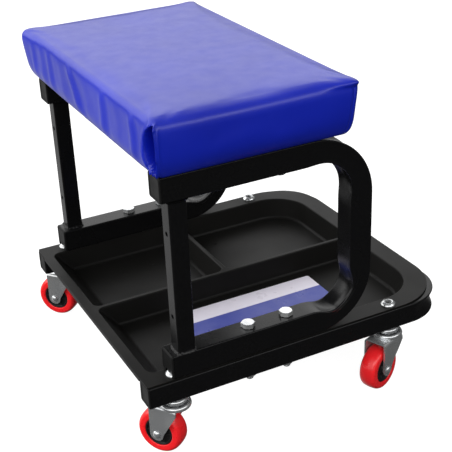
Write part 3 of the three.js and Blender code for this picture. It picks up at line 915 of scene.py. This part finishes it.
# Ridges pulled into the front face: where each meets the top, the middle and the bottom edge
# across the face, its height out of the face, and its width.
FRONT_RIDGES = [
    (150, 146, 141, 0.7, 5),
    (128, 120, 114, 0.9, 7),
    (104, 96, 82, 1.3, 6),
    (70, 56, 40, 0.7, 9),
    (45, 18, -6, 2.3, 7),
    (4, -16, -30, 0.5, 10),
    (-54, -58, -62, 2.0, 6),
    (-86, -96, -104, 0.5, 9),
    (-124, -133, -136, 2.2, 6),
]


def ridge_shift(across, height):
    """How far the vinyl stands out there, height from 0 at the bottom edge to 1 at the top."""
    total = 0.0
    fade = smoothstep(height, 0.02, 0.3) * (1 - smoothstep(height, 0.72, 0.93))
    for top, mid, foot, size, width in FRONT_RIDGES:
        if height > 0.5:
            centre = mid + (top - mid) * (height - 0.5) * 2
        else:
            centre = foot + (mid - foot) * height * 2
        offset = across - centre
        reach = width * (1.25 - 0.35 * height)
        total += size * bump(offset, 0, reach) - 0.35 * size * bump(offset, -1.9 * reach, reach)
    return total * fade


def move_points(obj, moved):
    """Puts each point (x, y, z) where moved says, in millimetres, or leaves it on None."""
    for v in obj.data.vertices:
        spot = moved(*(v.co / MM))
        if spot is not None:
            v.co = Vector(spot) * MM


def fold_vinyl(obj, low, high):
    """Tension ridges on the sides, and the lens-shaped pleat at the near front corner."""
    mid_y = (low.y + high.y) / 2

    def ridged(x, y, z):
        height = (z - low.z) / (high.z - low.z)
        if height < 0.005 or z > high.z + 0.2:
            return None
        across = y - mid_y
        facing = 1 - smoothstep(x - low.x, 1.5, 9)
        x -= facing * ridge_shift(across, height)
        rear_facing = 1 - smoothstep(high.x - x, 1.5, 9)
        x += rear_facing * 0.7 * ridge_shift(-across * 0.93 + 9, height)
        return x, y, z

    move_points(obj, ridged)
    corner_pleat(obj, low)
    rear_pleat(obj, low, high)
    pulled_corners(obj, low, high)


def pulled_corners(obj, low, high):
    """The near rear and far front corners, where the gathered vinyl stands out to a point."""

    def pulled(x, y, z):
        height = (z - low.z) / (high.z - low.z)
        if height < 0.02:
            return None
        upper = smoothstep(height, 0.35, 0.95)
        near_rear = (1 - smoothstep(high.x - x, 0, 46)) * (1 - smoothstep(y - low.y, 0, 52))
        y -= 9.5 * near_rear * smoothstep(height, 0.86, 1.0)
        x += 1.6 * near_rear * upper
        far_front = (1 - smoothstep(x - low.x, 0, 46)) * (1 - smoothstep(high.y - y, 0, 60))
        x -= far_front * (4.6 * upper + 2.0 * bump(height, 0.45, 0.35))
        y += far_front * 1.2 * upper
        return x, y, z

    move_points(obj, pulled)


def corner_pleat(obj, low):
    """A lens-shaped fold at the near front corner: a raised rim, a deep pocket, and a flap."""
    pleat_middle, pleat_reach, pocket_depth = 27.5, 25.5, 21.0
    inward = Vector((0.88, 0.48, 0))

    def folded(x, y, z):
        if z < low.z + 0.5:
            return None
        lens = max(0.0, 1 - ((z - low.z - pleat_middle) / pleat_reach) ** 2) ** 0.6
        if lens <= 0:
            return None
        from_x, from_y = x - low.x, y - low.y
        if from_x > 24 or from_y > 44 or min(from_x, from_y) > 10:
            return None
        along = from_x - from_y
        rim, flap = -19.5 * lens - 1, 2.5 * lens + 0.6
        roll = bump(along, rim - 2.6, 2.4) * lens
        x -= 1.7 * roll
        tau = (along - rim) / (flap - rim)
        if 0 < tau < 1:
            chord = Vector((low.x + flap * tau, low.y - rim * (1 - tau), z))
            pocket = pocket_depth * lens * smoothstep(tau, 0, 0.34) * (1 - smoothstep(tau, 0.4, 1.0))
            target = chord + inward * pocket
            return Vector((x, y, z)).lerp(target, smoothstep(lens, 0.05, 0.5))
        y -= 0.9 * bump(along, flap + 1.8, 1.6) * lens
        return x, y, z

    move_points(obj, folded)


def rear_pleat(obj, low, high):
    """The folded flap at the near rear corner, behind a narrow groove."""

    def flapped(x, y, z):
        height = (z - low.z) / (high.z - low.z)
        if height < 0.02 or height > 0.96 or y - low.y > 12:
            return None
        line = high.x - 9.0 + 5.5 * height
        fade = smoothstep(height, 0.02, 0.2) * (1 - smoothstep(height, 0.85, 0.96))
        groove = bump(x, line, 1.5) * fade
        behind = smoothstep(x, line, line + 3) * fade
        return x, y + 1.8 * groove + 0.9 * behind, z

    move_points(obj, flapped)


def seat():
    shape, low, high = seat_shell()
    obj = piece("seat_upholstery", shape, "stool", vinyl, ["seat_cover", "seat_foam"], 180)
    simulate(obj, low, high, 1.6)
    subdivide(obj)
    fold_vinyl(obj, low, high)


def subdivide(obj):
    smooth = obj.modifiers.new("smooth", "SUBSURF")
    smooth.levels = 1
    smooth.render_levels = 1
    graph = bpy.context.evaluated_depsgraph_get()
    fine = bpy.data.meshes.new_from_object(obj.evaluated_get(graph))
    obj.modifiers.remove(smooth)
    obj.data = fine
    obj.data.shade_smooth()


def seat_underside():
    low, high = box("seat_board")
    outline = rounded_outline(
        low.x + 11, high.x - 11, low.y + 11, high.y - 11, [5] * 4, 8
    )
    board = slab(outline, low.z + 0.7, high.z)
    obj = piece("seat_board_cloth", board, "stool", cloth, ["seat_board"])
    round_edges(obj, 0.5)
    staples = Shape()
    x0, x1, y0, y1 = low.x + 17.5, high.x - 17.5, low.y + 17.5, high.y - 17.5
    corners = [(x0, y0), (x1, y0), (x1, y1), (x0, y1)]
    for (ax, ay), (bx, by) in zip(corners, corners[1:] + corners[:1]):
        length = math.dist((ax, ay), (bx, by))
        count = round(length / 32)
        along = Vector((bx - ax, by - ay, 0)) / length
        turn = Matrix.Rotation(math.atan2(along.y, along.x), 4, "Z")
        for i in range(1, count):
            at = Vector((ax, ay, low.z + 0.35)) + along * length * i / count
            bar = turned([(0.45, -5), (0.45, 5)], 10)
            staples.add(bar, Matrix.Translation(at) @ turn @ Matrix.Rotation(math.pi / 2, 4, "Y"))
    zinc_piece("seat_staples", staples, (), 50)


# ---- fasteners -------------------------------------------------------------------------------------


def hexagon(z0, z1, corner, chamfer_top=True, chamfer_bottom=False, bore=0.0):
    """Hexagonal prism with chamfered corners, solid or bored."""
    count = 72
    flat = corner * math.cos(math.pi / 6)

    def reach(i):
        angle = 2 * math.pi * i / count
        wrapped = (angle + math.pi / 6) % (math.pi / 3) - math.pi / 6
        return flat / math.cos(wrapped)

    face = flat * 0.965

    def ring(radius_of, z_of):
        return [
            (radius_of(i) * math.cos(2 * math.pi * i / count),
             radius_of(i) * math.sin(2 * math.pi * i / count), z_of(i))
            for i in range(count)
        ]

    slope = math.tan(math.radians(30))
    rings = []
    if chamfer_bottom:
        rings.append(ring(lambda i: face, lambda i: z0))
        rings.append(ring(reach, lambda i: z0 + (reach(i) - face) * slope))
    else:
        rings.append(ring(reach, lambda i: z0))
    if chamfer_top:
        rings.append(ring(reach, lambda i: z1 - (reach(i) - face) * slope))
        rings.append(ring(lambda i: face, lambda i: z1))
    else:
        rings.append(ring(reach, lambda i: z1))
    if bore:
        rings.append(ring(lambda i: bore + 0.7, lambda i: z1))
        rings.append(ring(lambda i: bore, lambda i: z1 - 0.7))
        rings.append(ring(lambda i: bore, lambda i: z0 + 0.7))
        rings.append(ring(lambda i: bore + 0.7, lambda i: z0))
        return loft(rings, closed=True)
    return loft(rings)


def threaded(radius, z0, z1, pitch=1.25, plain_from=None):
    """A threaded rod from z0 up to z1, with chamfered ends, and smooth above plain_from."""
    profile = [(0.0, z0), (radius - 1.0, z0), (radius - 0.4, z0 + 0.5)]
    stop = z1 if plain_from is None else plain_from
    z = z0 + 0.6
    while z + pitch < stop:
        profile += [(radius - 0.62, z), (radius, z + pitch * 0.42), (radius, z + pitch * 0.58)]
        z += pitch
    if plain_from is not None:
        profile += [(radius - 0.3, stop), (radius, stop + 0.4), (radius, z1)]
    else:
        profile += [(radius - 0.62, z), (radius - 0.6, z1 - 0.4), (radius - 1.1, z1)]
    profile.append((0.0, z1))
    return turned(profile, 28)


def zinc_piece(name, shape, replaces, sharp, body="stool"):
    return piece(name, shape, body, zinc, replaces, sharp)


def at_axis(shape, x, y):
    return Shape().add(shape, Matrix.Translation((x, y, 0)))


def spun(shape, degrees):
    return Shape().add(shape, Matrix.Rotation(math.radians(degrees), 4, "Z"))


def frame_bolt(place, side_name, spin):
    bolt, nut = f"frame_bolt_{place}_{side_name}", f"frame_nut_{place}_{side_name}"
    low, high = box(bolt)
    cx, cy, _ = middle(bolt)
    head_z = high.z - 5
    shape = Shape().add(spun(hexagon(head_z + 0.5, high.z, 7.5), spin))
    washer = [(0, head_z), (6.3, head_z), (6.3, head_z + 0.5), (0, head_z + 0.5)]
    shape.add(turned(washer, 36))
    dish = [(0, high.z), (3.6, high.z), (3.2, high.z + 0.01), (0, high.z + 0.01)]
    shape.add(turned(dish, 24))
    shape.add(threaded(4.0, low.z, head_z, 1.25, low.z + 28))
    zinc_piece(f"bolt_{place}_{side_name}", at_axis(shape, cx, cy), [bolt], 28)
    low, high = box(nut)
    shape = Shape().add(spun(hexagon(low.z + 1.2, high.z, 7.5, True, True, 4.1), spin + 17))
    collar = [(4.3, low.z), (5.4, low.z), (6.0, low.z + 0.5), (6.0, low.z + 1.3), (4.3, low.z + 1.3)]
    shape.add(turned(collar, 36, closed=True))
    zinc_piece(f"nut_{place}_{side_name}", at_axis(shape, cx, cy), [nut], 28)


def seat_screw(place, side_name, spin):
    node = f"seat_screw_{place}_{side_name}"
    low, high = box(node)
    cx, cy, _ = middle(node)
    shape = Shape().add(spun(hexagon(low.z, low.z + 3.6, 5.8, False, True), spin))
    rim = [(0, low.z + 3.6), (6.4, low.z + 3.6), (6.4, low.z + 4.0), (0, low.z + 4.0)]
    shape.add(turned(rim, 36))
    shape.add(threaded(3.0, low.z + 4, high.z, 1.0))
    zinc_piece(f"screw_{place}_{side_name}", at_axis(shape, cx, cy), [node], 28)


# ---- casters ---------------------------------------------------------------------------------------

WHEEL_RADIUS = 25.0
TRAIL = 17.0
CROWN_TOP = 59.6
RACE_TOP = 63.8


def caster_matrix(name):
    """Where a caster's own frame is: Z up its swivel axis, its wheel trailing along +X."""
    stem = middle(f"stem_{name}")
    axle = middle(f"axle_bush_{name}")
    heading = math.atan2(axle.y - stem.y, axle.x - stem.x)
    return Matrix.Translation((stem.x, stem.y, 0)) @ Matrix.Rotation(heading, 4, "Z")


def fork_sheet():
    """The pressed fork: two legs and the plate between them, one sheet 2 mm thick."""
    half, bend, thick = 13.2, 4.0, 2.0
    top, lean_top, crown_rear = CROWN_TOP, CROWN_TOP - 6, -7.5
    foot_radius = 7.5
    foot = WHEEL_RADIUS - foot_radius
    columns = 16
    path = []
    for i in range(26):
        path.append((-half, foot + 0.15 + (top - bend - foot - 0.15) * (i / 25) ** 1.4))
    for i in range(1, 8):
        angle = i / 8 * math.pi / 2
        path.append((-half + bend - bend * math.cos(angle), top - bend + bend * math.sin(angle)))
    for i in range(9):
        path.append(((-half + bend) * (1 - i / 8), top))
    path += [(-y, z) for y, z in reversed(path[:-1])]

    def span(z):
        """How far the sheet reaches along X at that height."""
        if z < WHEEL_RADIUS:
            drop = WHEEL_RADIUS - z
            reach = math.sqrt(max(foot_radius**2 - drop**2, 0.4))
            return TRAIL - reach, TRAIL + reach
        axle_rear = TRAIL - foot_radius
        rise = min(1, (z - WHEEL_RADIUS) / (lean_top - WHEEL_RADIUS))
        return axle_rear + (crown_rear - axle_rear) * rise, TRAIL + foot_radius

    def fold_out(x, z):
        """The rear part of each leg is folded out a little along an upright line."""
        return 0.16 * max(0.0, 6.5 - x) * smoothstep(z, WHEEL_RADIUS + 4, WHEEL_RADIUS + 18)

    rings = []
    for k, (y, z) in enumerate(path):
        before, after = path[max(k - 1, 0)], path[min(k + 1, len(path) - 1)]
        direction = Vector((0, after[0] - before[0], after[1] - before[1])).normalized()
        across = Vector((0, -direction.z, direction.y))
        rear, front = span(z)
        skin, back = [], []
        for c in range(columns + 1):
            x = rear + (front - rear) * c / columns
            out = Vector((x, y, z)) + across * (fold_out(x, z) * min(1, abs(y) / half))
            skin.append(out)
            back.append(out - across * thick)
        rings.append(skin + back[::-1])
    return loft(rings)


def fork(name, matrix):
    node = f"fork_{name}"
    sheet = fork_sheet()
    across = Matrix.Translation((TRAIL, 0, WHEEL_RADIUS)) @ Matrix.Rotation(math.pi / 2, 4, "X")
    drill = Shape().add(turned([(3.4, -30), (3.4, 30)], 24), across)
    bore = turned([(4.4, 50), (4.4, 70)], 24)
    shape = combined(node, [sheet, drill, bore], "DIFFERENCE")
    cup = [
        (4.6, CROWN_TOP - 2.1), (4.6, CROWN_TOP + 0.6), (8.0, CROWN_TOP + 0.6), (11.0, CROWN_TOP + 0.9),
        (12.8, CROWN_TOP + 2.0), (13.4, RACE_TOP - 0.6), (14.2, RACE_TOP), (15.1, RACE_TOP - 0.35),
        (15.8, RACE_TOP - 1.0), (16.25, RACE_TOP - 1.9), (16.4, RACE_TOP - 2.9), (16.2, CROWN_TOP + 0.3),
        (15.6, CROWN_TOP - 0.6), (14.6, CROWN_TOP - 1.3), (13.0, CROWN_TOP - 2.1),
    ]
    shape.add(turned(cup, 56, closed=True))
    placed = Shape().add(shape, matrix)
    obj = zinc_piece(f"caster_fork_{name}", placed, [node], 32, f"caster_{name}")
    round_edges(obj, 0.35, 2, 50)


def races(name, matrix):
    low, high = box(f"upper_cup_{name}")
    top = high.z
    profile = [
        (4.4, top), (10.6, top), (11.6, top - 0.3), (12.3, top - 0.9), (12.7, top - 1.7), (12.8, top - 2.6),
        (12.6, low.z + 1.0), (12.0, low.z + 0.3), (11.2, low.z), (9.0, low.z + 0.2), (8.0, low.z + 1.2),
        (4.4, low.z + 1.2),
    ]
    shape = turned(profile, 56, closed=True)
    zinc_piece(f"caster_race_{name}", Shape().add(shape, matrix), [f"upper_cup_{name}"], 50)
    balls = Shape()
    count, circle, radius = 16, 9.8, 1.35
    tilts = [math.pi * k / 8 for k in range(9)]
    ball = turned([(radius * math.sin(tilt), -radius * math.cos(tilt)) for tilt in tilts], 14)
    for i in range(count):
        angle = 2 * math.pi * i / count
        centre = Vector((circle * math.cos(angle), circle * math.sin(angle), low.z - 1.15))
        balls.add(ball, Matrix.Translation(centre))
    piece(f"caster_balls_{name}", Shape().add(balls, matrix), "stool", steel, (), 60)


def stem(name, matrix):
    low, high = box(f"stem_{name}")
    shape = Shape()
    head = [
        (0, low.z), (4.6, low.z), (6.1, low.z + 0.5), (6.5, low.z + 1.2), (6.5, low.z + 1.8),
        (0, low.z + 1.8),
    ]
    shape.add(turned(head, 32))
    shape.add(threaded(4.0, low.z + 1.8, high.z - 6, 1.25))
    sleeve = [(3.3, high.z - 6), (4.0, high.z - 6), (4.0, high.z - 0.3), (3.7, high.z), (3.3, high.z - 0.3)]
    shape.add(turned(sleeve, 32, closed=True))
    zinc_piece(f"caster_stem_{name}", Shape().add(shape, matrix), [f"stem_{name}"], 32)
    low, high = box(f"stem_nut_{name}")
    dome = [
        (4.2, low.z), (8.0, low.z), (8.0, low.z + 0.9), (7.8, low.z + 1.3), (7.1, low.z + 2.0),
        (6.4, low.z + 2.7), (5.6, high.z - 0.35), (4.9, high.z), (4.4, high.z - 0.15), (4.2, high.z - 0.6),
    ]
    nut = turned(dome, 48, closed=True)
    zinc_piece(f"caster_nut_{name}", Shape().add(nut, matrix), [f"stem_nut_{name}"], 28)


def axle_turn():
    """Turns a profile's height onto the axle, which runs across the fork."""
    return Matrix.Translation((TRAIL, 0, WHEEL_RADIUS)) @ Matrix.Rotation(-math.pi / 2, 4, "X")


def both_ways(half):
    """A profile mirrored about the wheel's middle: [(radius, distance along the axle)]."""
    return [(r, -a) for r, a in half] + [(r, a) for r, a in reversed(half)]


def axle(name, matrix):
    half = [
        (0, 15.9), (1.3, 15.8), (2.5, 15.35), (3.5, 14.6), (4.1, 13.8), (4.2, 13.45), (3.0, 13.45), (3.0, 11),
    ]
    shape = turned(both_ways(half), 36)
    turn = matrix @ axle_turn()
    body = f"caster_{name}"
    zinc_piece(f"caster_rivet_{name}", Shape().add(shape, turn), [f"axle_{name}"], 40, body)
    bush = turned(both_ways([(3.3, 10.9), (4.3, 10.9), (4.6, 10.6)]), 36, closed=True)
    zinc_piece(f"caster_bush_{name}", Shape().add(bush, turn), [f"axle_bush_{name}"], 40, body)


def wheel(name, matrix):
    turn = matrix @ axle_turn()
    half = [
        (5.0, 10.4), (5.3, 10.6), (6.9, 10.6), (7.3, 10.3), (7.7, 8.1), (8.3, 7.6), (12.6, 7.6),
        (13.2, 7.9), (13.7, 9.2), (14.0, 9.5), (14.9, 9.5), (15.3, 9.2),
    ]
    hub = Shape().add(turned(both_ways(half), 64, closed=True))
    for flip in (-1, 1):
        for i in range(6):
            rib = slab(rounded_outline(7.0, 13.6, -0.9, 0.9, [0.3] * 4, 2), 7.0, 8.7)
            spin = Matrix.Rotation(math.pi / 3 * i, 4, "Z")
            mirror = Matrix.Rotation(0 if flip > 0 else math.pi, 4, "X")
            hub.add(rib, mirror @ spin)
    body = f"wheel_{name}"
    obj = piece(f"wheel_hub_{name}", Shape().add(hub, turn), body, nylon,
                [f"hub_{name}"], 35)
    round_edges(obj, 0.2, 2, 40)
    width = 9.8
    half = [(15.7, width - 0.6), (16.1, width - 0.1), (17.2, width), (20.6, width)]
    for i in range(1, 11):
        angle = i / 10 * math.pi / 2
        half.append((20.6 + 4.1 * math.sin(angle), width - 5.6 + 5.6 * math.cos(angle)))
    half += [(24.85, 3.2), (24.95, 1.6), (25.0, 0.35)]
    tyre = Shape().add(turned(both_ways(half), 96, closed=True), turn)
    piece(f"wheel_tyre_{name}", tyre, body, urethane, [f"tyre_{name}"], 50)


# ---- the whole stool -------------------------------------------------------------------------------

vinyl = blue_vinyl()
powder = black_powder_coat()
tray_finish = moulded_plastic()
plug_finish = cap_plastic()
zinc = zinc_plate()
steel = ball_steel()
urethane = red_urethane()
nylon = black_nylon()
cloth = dust_cloth()

seat()
seat_underside()
base_tube()
tray()
tray_label()
for side_name in SIDES:
    node = f"base_cap_{side_name}"
    obj = piece(f"base_plug_{side_name}", end_plug(node), "stool", plug_finish,
                [node], 40)
    even_normals(obj)
    c_frame(side_name)
    post(side_name)
for number, (place, side_name) in enumerate(
    (place, side_name) for side_name in SIDES for place in ("front", "rear")
):
    frame_bolt(place, side_name, 11 + 37 * number)
    seat_screw(place, side_name, 23 + 41 * number)
for caster_name in CASTERS:
    matrix = caster_matrix(caster_name)
    fork(caster_name, matrix)
    races(caster_name, matrix)
    stem(caster_name, matrix)
    axle(caster_name, matrix)
    wheel(caster_name, matrix)


# ---- studio ----------------------------------------------------------------------------------------


def studio_world():
    """White behind the object. What lights it is a soft studio: a bright wall and floor beyond the
    rear, a long softbox above the near side, and dimmer light from elsewhere."""
    world = bpy.data.worlds.new("studio")
    world.use_nodes = True
    bpy.context.scene.world = world
    nodes, links = world.node_tree.nodes, world.node_tree.links
    nodes.clear()

    def math_node(operation, a, b=0.0, c=0.0):
        node = nodes.new("ShaderNodeMath")
        node.operation = operation
        for index, value in enumerate((a, b, c)):
            if isinstance(value, bpy.types.NodeSocket):
                links.new(value, node.inputs[index])
            else:
                node.inputs[index].default_value = value
        return node.outputs[0]

    def ease(value, low, high):
        node = nodes.new("ShaderNodeMapRange")
        node.interpolation_type = "SMOOTHSTEP"
        links.new(value, node.inputs["Value"])
        node.inputs["From Min"].default_value = low
        node.inputs["From Max"].default_value = high
        return node.outputs[0]

    direction = nodes.new("ShaderNodeTexCoord").outputs["Generated"]
    parts = nodes.new("ShaderNodeSeparateXYZ")
    links.new(direction, parts.inputs[0])
    x, y, z = parts.outputs
    rearward = math_node("MULTIPLY_ADD", x, -0.1, math_node("MULTIPLY", y, 0.995))
    beyond = ease(rearward, 0.25, 0.7)
    wall = math_node("MULTIPLY", beyond, ease(z, -0.02, 0.3))
    floor = math_node("MULTIPLY", beyond, ease(math_node("MULTIPLY", z, -1.0), 0.0, 0.2))
    strip = math_node("MULTIPLY", ease(z, 0.42, 0.56), math_node("SUBTRACT", 1.0, ease(z, 0.74, 0.84)))
    softbox = math_node("MULTIPLY", strip, ease(math_node("MULTIPLY", y, -1.0), 0.2, 0.45))
    above = ease(z, 0.0, 0.25)
    left = math_node("MULTIPLY", ease(math_node("MULTIPLY", x, -1.0), 0.3, 0.8), above)
    total = math_node("MULTIPLY_ADD", wall, 1.75, 0.05)
    total = math_node("MULTIPLY_ADD", floor, 0.6, total)
    total = math_node("MULTIPLY_ADD", softbox, 2.4, total)
    total = math_node("MULTIPLY_ADD", left, 1.25, total)
    total = math_node("MULTIPLY_ADD", above, 0.12, total)
    lit = nodes.new("ShaderNodeBackground")
    links.new(total, lit.inputs["Strength"])
    plain = nodes.new("ShaderNodeBackground")
    plain.inputs["Color"].default_value = (1, 1, 1, 1)
    choose = nodes.new("ShaderNodeMixShader")
    links.new(nodes.new("ShaderNodeLightPath").outputs["Is Camera Ray"], choose.inputs["Fac"])
    links.new(lit.outputs[0], choose.inputs[1])
    links.new(plain.outputs[0], choose.inputs[2])
    links.new(choose.outputs[0], nodes.new("ShaderNodeOutputWorld").inputs["Surface"])


def area_light(name, location, target, size, power, glossy=True):
    data = bpy.data.lights.new(name, "AREA")
    data.shape = "RECTANGLE"
    data.size, data.size_y = size
    data.energy = power
    light = bpy.data.objects.new(name, data)
    light.location = location
    light.rotation_mode = "QUATERNION"
    light.rotation_quaternion = (Vector(target) - Vector(location)).to_track_quat("-Z", "Y")
    light.visible_glossy = glossy
    bpy.context.scene.collection.objects.link(light)


def studio_floor():
    mesh = bpy.data.meshes.new("floor")
    reach = 12.0
    corners = [(-reach, -reach, 0), (reach, -reach, 0), (reach, reach, 0), (-reach, reach, 0)]
    mesh.from_pydata(corners, [], [(0, 1, 2, 3)])
    floor = bpy.data.objects.new("floor", mesh)
    bpy.context.scene.collection.objects.link(floor)
    m = Material("pale_floor", (0.3, 0.3, 0.3), 0.9)
    m.set("Emission Color", (1, 1, 1, 1))
    m.set("Emission Strength", 0.93)
    m.set("Specular IOR Level", 0.0)
    mesh.materials.append(m.material)
    floor.visible_diffuse = False
    floor.visible_glossy = False


def camera():
    """The reference view, from the near front: a place in metres, then heading, tilt and roll."""
    place = Vector((-0.4724, -0.9473, 0.6797))
    heading, tilt, roll = math.radians(63.74), math.radians(-26.68), math.radians(-2.52)
    forward = Vector((
        math.cos(tilt) * math.cos(heading), math.cos(tilt) * math.sin(heading), math.sin(tilt)
    ))
    right = forward.cross(Vector((0, 0, 1))).normalized()
    up = right.cross(forward)
    turned_right = right * math.cos(roll) + up * math.sin(roll)
    turned_up = up * math.cos(roll) - right * math.sin(roll)
    data = bpy.data.cameras.new("camera")
    data.sensor_width = 36
    data.lens = 82.5
    data.clip_start = 0.01
    data.clip_end = 100
    obj = bpy.data.objects.new("camera", data)
    bpy.context.scene.collection.objects.link(obj)
    matrix = Matrix((turned_right, turned_up, -forward)).transposed().to_4x4()
    matrix.translation = place
    obj.matrix_world = matrix
    bpy.context.scene.camera = obj


studio_world()
studio_floor()
area_light("overhead", (0.1, -0.1, 2.2), (0, 0, 0.2), (1.8, 1.8), 6, glossy=False)
area_light("near_fill", (-0.5, -2.6, 0.7), (0, 0, 0.2), (1.6, 1.2), 18, glossy=False)
area_light("left_fill", (-2.0, 0.4, 0.9), (0, 0, 0.25), (1.4, 1.4), 27, glossy=False)
camera()
bpy.context.scene.view_settings.view_transform = "Standard"
